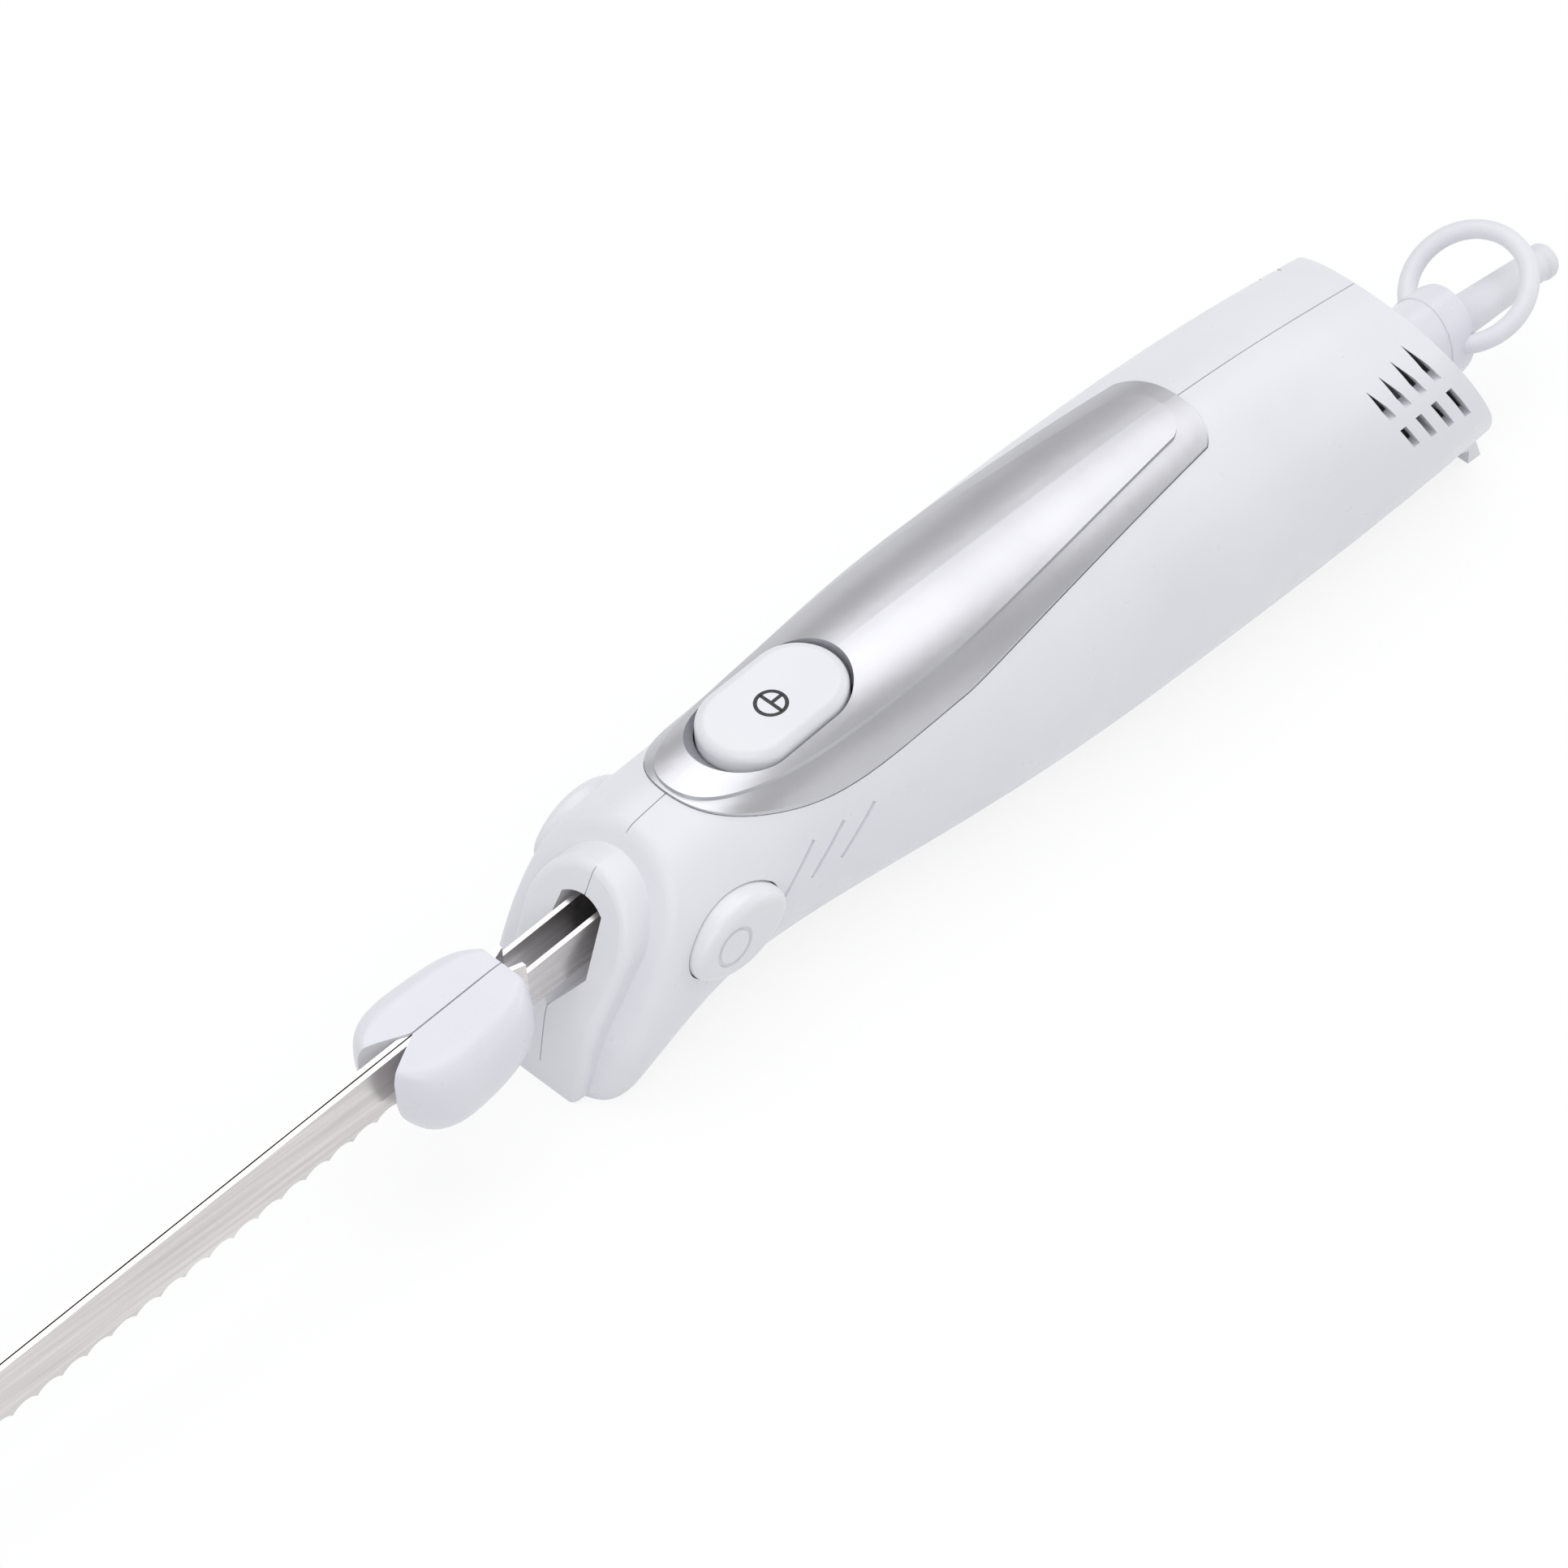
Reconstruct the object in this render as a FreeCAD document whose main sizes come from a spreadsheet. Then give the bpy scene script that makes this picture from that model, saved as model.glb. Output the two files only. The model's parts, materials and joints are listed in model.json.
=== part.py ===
"""Electric carving knife: two moulded housing halves round a worm drive that moves twin blades.

The resting frame has the heel's flat at the origin, +X towards the cord, +Z up and the blades
towards -X. The drive frame is the resting frame raised to the blade line and pitched, so that
its own x axis runs along the blades and the motor shaft. Lengths are in millimetres.
"""
import FreeCAD, Part
import Sketcher
import math
import os
from types import SimpleNamespace

Vector = FreeCAD.Vector
Rotation = FreeCAD.Rotation
Placement = FreeCAD.Placement

SIZES = {
    # Walls, clearances and the length by which every cutting shape overruns
    "wall": 2.4,
    "overrun": 6.0,
    "seat_gap": 0.1,
    "slide_gap": 0.3,
    "bearing_gap": 0.04,
    # Handle sections: place along the handle, top, bottom and half width
    "nose_x": -14.0, "nose_top": 38.5, "nose_bottom": -7.0, "nose_half": 18.5,
    "heel_x": 0.0, "heel_top": 42.5, "heel_bottom": -6.0, "heel_half": 19.0,
    "collar_x": 23.0, "collar_top": 48.1, "collar_bottom": 5.0, "collar_half": 18.8,
    "neck_x": 44.0, "neck_top": 51.0, "neck_bottom": 5.2, "neck_half": 18.3,
    "palm_x": 78.0, "palm_top": 53.8, "palm_bottom": 3.1, "palm_half": 21.4,
    "belly_x": 112.0, "belly_top": 54.9, "belly_bottom": 1.8, "belly_half": 24.0,
    "motor_x": 147.0, "motor_top": 55.7, "motor_bottom": 1.4, "motor_half": 24.5,
    "tail_x": 176.0, "tail_top": 54.8, "tail_bottom": 1.6, "tail_half": 24.2,
    "rear_x": 204.0, "rear_top": 51.9, "rear_bottom": 2.6, "rear_half": 23.4,
    "end_x": 234.0, "end_top": 46.0, "end_bottom": 4.2, "end_half": 21.0,
    "section_share": 0.63,
    # Drive line: height over the table at the heel, and pitch in degrees
    "drive_height": 30.1,
    "drive_pitch": 4.2,
    # Nose: side profile of the raised boss and of the body behind it
    "boss_foot_x": -7.0, "boss_bend_x": -4.7, "boss_bend_z": 17.0, "boss_head_x": 8.0,
    "boss_head_z": 43.0, "boss_half": 12.6, "boss_foot_half": 9.6, "boss_round": 2.0,
    "heel_length": 12.0,
    "brow_foot_x": -4.4, "brow_bend_x": -1.0, "brow_bend_z": 14.0, "brow_head_x": 18.0,
    "brow_head_z": 50.0, "brow_round": 4.0, "nose_bend": 24.0, "nose_wall": 6.0,
    # Blade slot, in the drive frame: a shield with a pointed foot
    "slot_foot_z": -12.7, "slot_shoulder_z": -4.7, "slot_shoulder_half": 6.2,
    "slot_head_z": 5.8, "slot_head_half": 4.9, "slot_crown_z": 7.4,
    # Rear end: slanted face, turned in at the foot, with a rest lip
    "tail_face_top_x": 207.0, "tail_face_top_z": 51.5, "tail_face_knee_x": 223.5,
    "tail_face_knee_z": 21.0, "tail_face_low_x": 227.5, "tail_face_low_z": 11.0,
    "tail_face_foot_x": 231.6, "lip_length": 3.6, "lip_notch": 3.0, "lip_height": 4.4,
    "lip_ramp_share": 0.75, "lip_half": 13.5,
    # Silver cover on the top
    "cover_front_x": 25.8, "cover_wide_x": 84.0, "cover_wide_half": 18.1,
    "cover_corner_x": 153.5, "cover_corner_half": 11.6, "cover_rear_x": 157.7,
    "cover_bow_share": 0.74, "cover_lead_share": 0.244, "cover_brow_share": 0.95,
    "cover_taper_share": 0.16, "cover_run_share": 0.66, "cover_waist_share": 0.43,
    "cover_turn_share": 0.8, "panel_inset": 4.3, "panel_front_inset": 0.6,
    "cover_rise": 0.5, "panel_rise": 1.3, "cover_depth": 1.4,
    # Power button, in the drive frame
    "button_x": 53.8, "button_length": 31.4, "button_width": 19.0, "button_top_z": 19.6,
    "button_foot_z": 12.6, "button_round": 2.2, "button_travel": 2.2, "button_tab": 1.4,
    "button_tab_half": 4.0, "button_tab_thick": 1.2, "dish_front": 4.2, "dish_side": 0.9,
    "dish_foot_z": 15.2, "skirt_foot_z": 14.2, "skirt_wall": 1.2, "button_wall": 2.0,
    # Release buttons on both sides
    "release_x": 23.9, "release_z": 28.8, "release_length": 22.6, "release_height": 16.0,
    "release_end_share": 0.62,
    "release_face_y": 21.6, "release_round": 2.2, "release_flange_y": 14.1,
    "release_flange": 0.5, "release_flange_thick": 1.3, "release_stem_radius": 2.2,
    "release_travel": 1.8, "release_tilt": 7.0,
    "release_dish_radius": 3.4, "release_dish_width": 0.9, "release_dish_depth": 0.5,
    "release_dish_back": 2.7,
    # Engraved grip grooves behind the release buttons
    "groove_first_x": 40.8, "groove_z": 31.2, "groove_pitch": 7.2, "groove_length": 11.8,
    "groove_width": 0.9, "groove_depth": 0.6, "groove_tilt": 45.0, "groove_count": 3.0,
    # Vent slots at the rear of both sides
    "vent_first_x": 194.4, "vent_pitch": 4.55, "vent_width": 1.7, "vent_top_z": 46.5,
    "vent_bar_top_z": 39.6, "vent_bar_bottom_z": 36.6, "vent_foot_z": 30.6, "vent_lean": 30.0,
    "vent_point": 4.5, "vent_foot_step": 1.0, "vent_top_step": 0.4, "vent_inner_y": 9.0,
    "vent_count": 4.0,
    # Cord outlet: collar, boot and hanging loop along the outlet's own axis
    "outlet_x": 223.0, "outlet_z": 22.7, "outlet_tilt": -3.0, "collar_high": 10.2,
    "collar_wide": 8.2, "collar_step": 0.25, "collar_length": 11.3, "collar_edge": 1.0,
    "boot_radius": 4.2, "boot_tip_radius": 3.3, "boot_length": 30.0, "boot_bead": 0.7,
    "boot_mouth_radius": 3.3, "boot_mouth_x": 1.2,
    "cord_radius": 2.5, "loop_wire": 1.9, "loop_base_half": 7.0, "loop_base_z": 1.5,
    "loop_reach": 28.0, "loop_lift": 13.0,
    # Housing screws, driven from the right side
    "screw_radius": 1.5, "screw_head_radius": 2.9, "screw_crown_radius": 2.3, "screw_head_height": 2.0,
    "screw_seat_y": 5.0, "screw_length": 13.0, "screw_boss_radius": 4.3, "screw_cross_share": 0.6,
    "screw_slot_share": 0.2,
    "neck_screw_x": 44.0, "neck_screw_z": 14.0, "palm_screw_x": 96.0, "palm_screw_z": 10.6,
    "tail_screw_x": 198.0, "tail_screw_z": 12.4,
    # Blades, in the drive frame
    "blade_height": 14.0, "blade_thick": 1.0, "blade_gap": 0.3, "blade_tip_x": -231.0,
    "blade_tip_run": 11.0, "tooth_first_x": -41.0, "tooth_pitch": 5.7, "tooth_depth": 1.5,
    "bevel_height": 5.2, "bevel_depth": 0.65, "tang_y": 3.0, "tang_half": 4.6,
    "tang_end_x": 44.0, "joggle_front_x": -18.5, "joggle_rear_x": -11.8,
    "rivet_x": -212.0, "rivet_z": 1.0, "rivet_radius": 1.6, "rivet_head_radius": 2.9,
    "rivet_crown_radius": 2.1, "rivet_head_height": 0.8, "tip_point_share": 0.2,
    "tip_lead_share": 0.25, "tip_back_share": 0.6, "tip_belly_share": 0.7,
    # Blade grips, moulded over the blades: place on the drive line, half width, top and foot
    "grip_end_x": -14.4, "grip_end_half": 7.2, "grip_end_top": 7.2, "grip_end_foot": -7.2,
    "grip_heel_x": -17.4, "grip_heel_half": 10.0, "grip_heel_top": 7.4, "grip_heel_foot": -7.6,
    "grip_flare_x": -23.5, "grip_flare_half": 12.0, "grip_flare_top": 7.4, "grip_flare_foot": -9.2,
    "grip_wide_x": -31.0, "grip_wide_half": 12.7, "grip_wide_top": 7.4, "grip_wide_foot": -10.0,
    "grip_hold_x": -37.0, "grip_hold_half": 12.3, "grip_hold_top": 7.4, "grip_hold_foot": -10.0,
    "grip_turn_x": -41.0, "grip_turn_half": 10.4, "grip_turn_top": 7.4, "grip_turn_foot": -8.8,
    "grip_brow_x": -43.4, "grip_brow_half": 7.6, "grip_brow_top": 7.2, "grip_brow_foot": -6.0,
    "grip_nose_x": -45.0, "grip_nose_half": 5.0, "grip_nose_top": 6.4, "grip_nose_foot": -2.2,
    "grip_mouth_x": -36.0, "grip_mouth_half": 4.6, "grip_top_share": 0.55, "grip_foot_share": 0.5,
    # Blade sliders with tang sockets and crank windows
    "stroke_half": 3.5, "slider_front_x": 22.0, "socket_rear_x": 46.0, "slider_inner_y": 3.2,
    "slider_outer_y": 6.5, "socket_inner_y": 1.3, "socket_half_z": 6.4, "strip_half_z": 4.0,
    "yoke_half_z": 8.0, "yoke_rim": 2.6,
    # Latch springs that hold the tangs
    "latch_thick": 0.4, "latch_front_x": 26.0, "latch_rear_x": 44.0, "latch_half_z": 2.5,
    "latch_nose_x": 33.0, "latch_nose_length": 3.0, "latch_nose_half": 1.5,
    # Guide sleeve round the sockets
    "sleeve_front_x": 20.5, "sleeve_rear_x": 48.0, "sleeve_half_y": 9.4, "sleeve_half_z": 8.4,
    "sleeve_wall": 1.7,
    # Gear frame
    "frame_front_x": 52.0, "frame_rear_x": 110.0, "frame_half_y": 9.4, "frame_top_z": 10.0,
    "frame_foot_z": -20.0, "frame_wall": 4.0, "frame_cheek": 2.3, "deck_rear_x": 72.0,
    "deck_thick": 1.6, "deck_lift": 0.4, "bush_web_x": 68.0, "bush_web_top_z": -9.2,
    # Worm wheel with crank pins
    "wheel_x": 89.0, "wheel_module": 1.0, "wheel_teeth": 21.0, "wheel_half_face": 2.5,
    "tooth_addendum": 0.8, "tooth_dedendum": 1.1, "tooth_backlash": 0.12, "axle_radius": 1.5,
    "crank_radius": 3.5, "crank_pin_radius": 1.5, "crank_pin_seat": 1.8, "hub_radius": 6.4,
    "hub_recess": 0.8, "rim_radius": 8.4, "pressure_angle": 20.0,
    # Motor shaft with its worm
    "worm_radius": 3.6, "worm_turns": 4.0, "shaft_radius": 2.4, "shaft_front_x": 66.0,
    "shaft_rear_x": 187.0,
    # Bearings
    "bearing_radius": 6.0, "bush_radius": 4.2, "bearing_chamfer": 0.5,
    # Motor
    "stack_front_x": 128.0, "stack_rear_x": 156.0, "stator_radius": 19.5, "yoke_ring": 2.5,
    "pole_half": 5.0, "pole_shoe_half": 9.6, "pole_shoe_thick": 2.0, "pole_bore": 11.3,
    "air_gap": 0.4, "coil_overhang": 6.0, "coil_half": 11.4, "coil_gap": 0.2,
    "slot_count": 12.0, "slot_width": 1.6, "slot_depth": 4.6, "winding_radius": 9.8,
    "winding_length": 5.4, "winding_round": 1.5, "commutator_front_x": 164.0,
    "commutator_length": 10.0, "commutator_radius": 7.2, "segment_gap": 0.6,
    "segment_depth": 0.8,
    # Cooling fan
    "fan_front_x": 112.0, "fan_radius": 16.5, "fan_plate": 1.2, "fan_length": 7.6,
    "fan_hub_radius": 5.0, "fan_blade_thick": 1.2, "fan_blade_root": 6.5, "fan_blades": 9.0,
    # Motor bracket with brush gear
    "bracket_wall": 2.2, "bracket_rear_x": 184.0, "bracket_plate": 4.0, "holder_x": 169.0,
    "holder_size": 8.0, "holder_wall": 1.0, "holder_inner_y": 8.2, "holder_outer_y": 19.6,
    "brush_gap": 0.1, "brush_end_y": 14.0, "brush_wire": 0.3, "brush_coils": 3.0,
    "air_window_front_x": 163.5, "air_window_rear_x": 177.0, "air_window_half": 9.0,
    # Switch under the power button
    "switch_x": 62.0, "switch_length": 14.0, "switch_width": 6.4, "plunger_radius": 1.1,
    "switch_floor": 0.8,
    # Springs under the buttons
    "button_spring_x": 44.6, "button_spring_radius": 2.8, "spring_wire": 0.25,
    "button_coils": 4.5, "release_spring_radius": 3.3, "release_coils": 2.5,
    # Inner ribs of the housing, as places along the drive line
    "rib_thick": 2.2, "sleeve_rib_x": 41.5, "frame_front_rib_x": 58.0, "frame_rear_rib_x": 100.0,
    "stack_front_rib_x": 131.0, "stack_rear_rib_x": 150.0, "bracket_rib_x": 179.5,
    "frame_rib_top_z": 4.0,
    # Cord clamp and mains suppressor
    "clamp_x": 206.0, "clamp_z": 23.6, "clamp_span": 14.0, "clamp_width": 7.0,
    "clamp_thick": 4.0, "clamp_face_y": 2.6, "clamp_post_radius": 3.4, "clamp_screw_radius": 1.3,
    "clamp_screw_head": 2.5, "clamp_screw_length": 9.0, "capacitor_length": 9.0,
    "capacitor_width": 16.0, "capacitor_height": 11.0, "capacitor_lift": 7.6,
    # Seam between the halves
    "seam_width": 0.24, "seam_depth": 0.7,
}

doc = FreeCAD.newDocument("CarvingKnife")
sheet = doc.addObject("Spreadsheet::Sheet", "Sizes")


class Size(float):
    """A number from the sheet that remembers the formula it came from."""

    def __new__(cls, value, formula):
        size = super().__new__(cls, value)
        size.formula = formula
        return size

    def __add__(self, other):
        return Size(float(self) + float(other), f"({self.formula} + {formula(other)})")

    def __radd__(self, other):
        return Size(float(other) + float(self), f"({formula(other)} + {self.formula})")

    def __sub__(self, other):
        return Size(float(self) - float(other), f"({self.formula} - {formula(other)})")

    def __rsub__(self, other):
        return Size(float(other) - float(self), f"({formula(other)} - {self.formula})")

    def __mul__(self, other):
        return Size(float(self) * float(other), f"({self.formula} * {formula(other)})")

    __rmul__ = __mul__

    def __truediv__(self, other):
        return Size(float(self) / float(other), f"({self.formula} / {formula(other)})")

    def __neg__(self):
        return Size(-float(self), f"(0 - {self.formula})")


def formula(value):
    """The text of a value in a bound expression."""
    return value.formula if isinstance(value, Size) else repr(float(value))


def fill_sheet():
    """Writes the driving dimensions to the sheet and hands them back as named sizes."""
    for row, (name, value) in enumerate(SIZES.items(), start=1):
        sheet.set(f"A{row}", name)
        sheet.set(f"B{row}", str(value))
        sheet.setAlias(f"B{row}", name)
    doc.recompute()
    return SimpleNamespace(**{n: Size(float(sheet.get(n)), f"Sizes.{n}") for n in SIZES})


s = fill_sheet()
REST = Placement()
DRIVE = Placement(Vector(0, 0, s.drive_height), Rotation(Vector(0, 1, 0), -float(s.drive_pitch)))
OUTLET = Placement(Vector(s.outlet_x, 0, s.outlet_z), Rotation(Vector(0, 1, 0), -float(s.outlet_tilt)))
ALONG = {"x": Rotation(Vector(0, 1, 0), 90), "y": Rotation(Vector(1, 0, 0), -90), "z": Rotation()}
SIDES = {"left": -1, "right": 1}
sub_parts = []


# Helpers for bound primitives, sketches and shapes

def bind(thing, name, value):
    """Sets a property, bound to the sheet where the value came from there."""
    if isinstance(value, Size):
        thing.setExpression(name, value.formula)
    else:
        setattr(thing, name, value)


def put(thing, at, axis="z"):
    """Places a primitive with its own axis along x, y or z."""
    thing.Placement = Placement(Vector(*at), ALONG[axis])
    for name, value in zip("xyz", at):
        if isinstance(value, Size):
            thing.setExpression(f"Placement.Base.{name}", value.formula)
    return thing


def rod(name, radius, length, at, axis="x"):
    """A round bar from a point along an axis."""
    bar = doc.addObject("Part::Cylinder", name)
    bind(bar, "Radius", radius)
    bind(bar, "Height", length)
    return put(bar, at, axis)


def block(name, low, high):
    """A box between two corners."""
    box = doc.addObject("Part::Box", name)
    for prop, near, far in zip(("Length", "Width", "Height"), low, high):
        bind(box, prop, far - near)
    return put(box, low)


def cut(name, base, *tools):
    """A solid with tools taken away."""
    result = base
    for tool in tools:
        step = doc.addObject("Part::Cut", f"{name}_less_{tool.Name}")
        step.Base = result
        step.Tool = tool
        result = step
    return result


def fuse(name, *pieces):
    """Several pieces as one solid."""
    result = doc.addObject("Part::MultiFuse", name)
    result.Shapes = list(pieces)
    result.Refine = True
    return result


def common(name, base, tool):
    """What two solids share."""
    result = doc.addObject("Part::Common", name)
    result.Base = base
    result.Tool = tool
    return result


def ring(name, outer, inner, length, at, axis="x"):
    """A round tube."""
    start = [a - s.overrun if letter == axis else a for letter, a in zip("xyz", at)]
    return cut(name, rod(name + "_outer", outer, length, at, axis),
               rod(name + "_bore", inner, length + s.overrun * 2, start, axis))


def hand_in(label, thing, frame=REST):
    """Names a sub-part and sets it in its frame."""
    for name in "xyz":
        thing.setExpression(f"Placement.Base.{name}", None)
    thing.Placement = frame.multiply(thing.Placement)
    thing.Label = label
    sub_parts.append(thing)
    return thing


def hand_in_shape(label, shape, frame=REST):
    """Names a sub-part whose shape is worked out in code."""
    thing = doc.addObject("Part::Feature", label)
    thing.Shape = shape
    thing.Placement = frame.multiply(shape.Placement)
    thing.Label = label
    sub_parts.append(thing)
    return thing


def new_body(label, frame, at=(0, 0, 0)):
    """An empty body at a point of a frame."""
    body = doc.addObject("PartDesign::Body", label)
    body.Label = label
    body.Placement = frame.multiply(Placement(Vector(*at), Rotation()))
    sub_parts.append(body)
    return body


def new_sketch(body, name, role):
    """A sketch on one of the body's own planes."""
    sketch = body.newObject("Sketcher::SketchObject", name)
    plane = next(f for f in body.Origin.OriginFeatures if f.Role == role)
    sketch.AttachmentSupport = [(plane, "")]
    sketch.MapMode = "FlatFace"
    return sketch


def fix(sketch, kind, *terms):
    """A dimension of a sketch, bound to the sheet."""
    value = terms[-1]
    number = sketch.addConstraint(Sketcher.Constraint(kind, *terms[:-1], float(value)))
    if isinstance(value, Size):
        sketch.setExpression(f"Constraints[{number}]", value.formula)


def draw(sketch, points):
    """A closed outline of straight lines whose corners are bound to the sheet."""
    count = len(points)
    first = sketch.GeometryCount
    for here, there in zip(points, points[1:] + points[:1]):
        sketch.addGeometry(Part.LineSegment(Vector(*here, 0), Vector(*there, 0)), False)
    for i in range(count):
        after = first + (i + 1) % count
        sketch.addConstraint(Sketcher.Constraint("Coincident", first + i, 2, after, 1))
    for i, (u, v) in enumerate(points, start=first):
        fix(sketch, "DistanceX", -1, 1, i, 1, u)
        fix(sketch, "DistanceY", -1, 1, i, 1, v)


def draw_circle(sketch, radius):
    """A circle round the sketch's origin."""
    number = sketch.addGeometry(Part.Circle(Vector(), Vector(0, 0, 1), float(radius)), False)
    sketch.addConstraint(Sketcher.Constraint("Coincident", number, 3, -1, 1))
    fix(sketch, "Radius", number, radius)


def draw_slot(sketch, length, width):
    """A round-ended slot along the sketch's first axis."""
    reach = (length - width) / 2
    radius = width / 2
    for turn in (1, -1):
        middle = Vector(turn * reach, 0, 0)
        arc = Part.ArcOfCircle(Part.Circle(middle, Vector(0, 0, 1), float(radius)),
                               -turn * math.pi / 2, turn * math.pi / 2 + (0 if turn > 0 else 2 * math.pi))
        sketch.addGeometry(arc, False)
    right, left = 0, 1
    for turn in (1, -1):
        sketch.addGeometry(Part.LineSegment(Vector(reach * turn, radius * turn, 0),
                                            Vector(-reach * turn, radius * turn, 0)), False)
    top, foot = 2, 3
    for one, end, two, start in ((right, 2, top, 1), (top, 2, left, 1),
                                 (left, 2, foot, 1), (foot, 2, right, 1)):
        sketch.addConstraint(Sketcher.Constraint("Tangent", one, end, two, start))
    for arc, side in ((right, reach), (left, -reach)):
        fix(sketch, "DistanceX", -1, 1, arc, 3, side)
        fix(sketch, "DistanceY", -1, 1, arc, 3, 0)
    fix(sketch, "Radius", right, radius)


def pad(body, sketch, length, backwards=False):
    """Thickens a sketch."""
    feature = body.newObject("PartDesign::Pad", "Pad")
    feature.Profile = sketch
    bind(feature, "Length", length)
    feature.Reversed = backwards
    return feature


def turned(label, frame, at, points):
    """A body turned about the frame's x axis from points given as (place, radius)."""
    body = new_body(label, frame, at)
    sketch = new_sketch(body, "Profile", "XZ_Plane")
    draw(sketch, points)
    feature = body.newObject("PartDesign::Revolution", "Turn")
    feature.Profile = sketch
    feature.ReferenceAxis = (sketch, ["H_Axis"])
    feature.Angle = 360
    return body


def around(body, feature, count):
    """Repeats a feature round the body's x axis."""
    doc.recompute()
    pattern = body.newObject("PartDesign::PolarPattern", "Around")
    pattern.Originals = [feature]
    pattern.Axis = (next(f for f in body.Origin.OriginFeatures if f.Role == "X_Axis"), [""])
    pattern.Angle = 360
    pattern.Occurrences = int(count)
    body.Tip = pattern
    return pattern


def bezier(*poles):
    """A smooth edge from its control points."""
    curve = Part.BezierCurve()
    curve.setPoles([Vector(*p) for p in poles])
    return curve.toShape()


def line(here, there):
    """A straight edge."""
    return Part.makeLine(Vector(*here), Vector(*there))


def arc(here, middle, there):
    """A round edge through three points."""
    return Part.Arc(Vector(*here), Vector(*middle), Vector(*there)).toShape()


def polygon(points):
    """A flat face with straight sides."""
    corners = [Vector(*p) for p in points]
    return Part.Face(Part.makePolygon(corners + corners[:1]))


def prism(points, along):
    """A flat outline drawn out along a vector."""
    return polygon(points).extrude(Vector(*along))


def box_shape(low, high):
    """A plain box between two corners."""
    return Part.makeBox(*[b - a for a, b in zip(low, high)], Vector(*low))


def rod_shape(radius, length, at, axis):
    """A plain round bar."""
    return Part.makeCylinder(float(radius), float(length), Vector(*at), Vector(*axis))


def in_drive(shape):
    """Moves a shape from the drive frame to the resting frame."""
    moved = shape.copy()
    moved.Placement = DRIVE.multiply(moved.Placement)
    return moved


def coil(radius, wire, length, turns):
    """A coil spring of square wire along +Z, standing between its two seats."""
    rise = length - 2 * wire
    path = Part.makeHelix(rise / turns, rise, float(radius))
    path.translate(Vector(0, 0, float(wire)))
    square = ((-1, -1), (1, -1), (1, 1), (-1, 1))
    corners = [Vector(radius + u * wire, 0, wire + v * wire) for u, v in square]
    loop = Part.makePolygon(corners + corners[:1])
    return Part.Wire(path.Edges).makePipeShell([loop], True, True)


def knob(radius, crown, height, at, axis):
    """A low round head that narrows to its crown."""
    return Part.makeCone(float(radius), float(crown), float(height), Vector(*at), Vector(*axis))


# Handle form shared by the housing and the cover

STATIONS = ("nose", "heel", "collar", "neck", "palm", "belly", "motor", "tail", "rear", "end")


def station(name, part):
    """One size of a handle section."""
    return getattr(s, f"{name}_{part}")


def section(name, inset):
    """One closed handle section, drawn in by an inset."""
    x = station(name, "x")
    top = station(name, "top") - inset
    foot = station(name, "bottom") + inset
    half = station(name, "half") - inset
    waist = (top + foot) / 2
    reach = half * s.section_share
    edges = []
    for side, here, there in ((1, top, foot), (-1, foot, top)):
        near = waist + (here - waist) * s.section_share
        far = waist + (there - waist) * s.section_share
        edges.append(bezier((x, 0, here), (x, side * reach, here), (x, side * half, near),
                            (x, side * half, waist)))
        edges.append(bezier((x, side * half, waist), (x, side * half, far), (x, side * reach, there),
                            (x, 0, there)))
    return Part.Wire(edges)


def handle_form(inset):
    """The handle's outer form, drawn in by an inset and open at both ends of the range."""
    return Part.makeLoft([section(name, inset) for name in STATIONS], True, False)


def inner_form(inset):
    """The handle's form drawn in by an inset, with straight runs between its sections."""
    return Part.makeLoft([section(name, inset) for name in STATIONS], True, True)


def across(points):
    """A side outline, given as (x, z), drawn out across the whole handle."""
    reach = s.end_x - s.nose_x
    return prism([(x, -reach, z) for x, z in points], (0, reach * 2, 0))


def beyond(here, there, z):
    """The point at a height on the line through two points of a side outline."""
    lean = (there[0] - here[0]) / (there[1] - here[1])
    return (there[0] + lean * (z - there[1]), z)


def ahead_of(profile, shift):
    """What lies ahead of a nose profile, moved back by a shift, with its bend rounded."""
    far = s.blade_tip_x
    crown = s.end_top * 2
    foot, bend, head = [(x + shift, z) for x, z in profile]
    block_ahead = across([(far, -crown), beyond(bend, foot, -crown), bend, beyond(bend, head, crown),
                          (far, crown)])
    fold = [e for e in block_ahead.Edges if abs(e.CenterOfMass.x - bend[0]) < s.seat_gap
            and abs(e.CenterOfMass.z - bend[1]) < s.seat_gap]
    return block_ahead.makeFillet(float(s.nose_bend), fold)


def behind_tail(shift):
    """What lies behind the rear face, moved forward by a shift."""
    face = [(s.tail_face_top_x, s.tail_face_top_z), (s.tail_face_knee_x, s.tail_face_knee_z),
            (s.tail_face_low_x, s.tail_face_low_z), (s.tail_face_foot_x, 0)]
    face = [(x - shift, z) for x, z in face]
    crown = s.end_top * 2
    far = s.end_x * 2
    outline = [beyond(face[1], face[0], crown)] + face[1:-1] + [beyond(face[-2], face[-1], -crown)]
    return across(outline + [(far, -crown), (far, crown)])


BOSS_PROFILE = [(s.boss_foot_x, 0), (s.boss_bend_x, s.boss_bend_z), (s.boss_head_x, s.boss_head_z)]
BROW_PROFILE = [(s.brow_foot_x, 0), (s.brow_bend_x, s.brow_bend_z), (s.brow_head_x, s.brow_head_z)]


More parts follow.
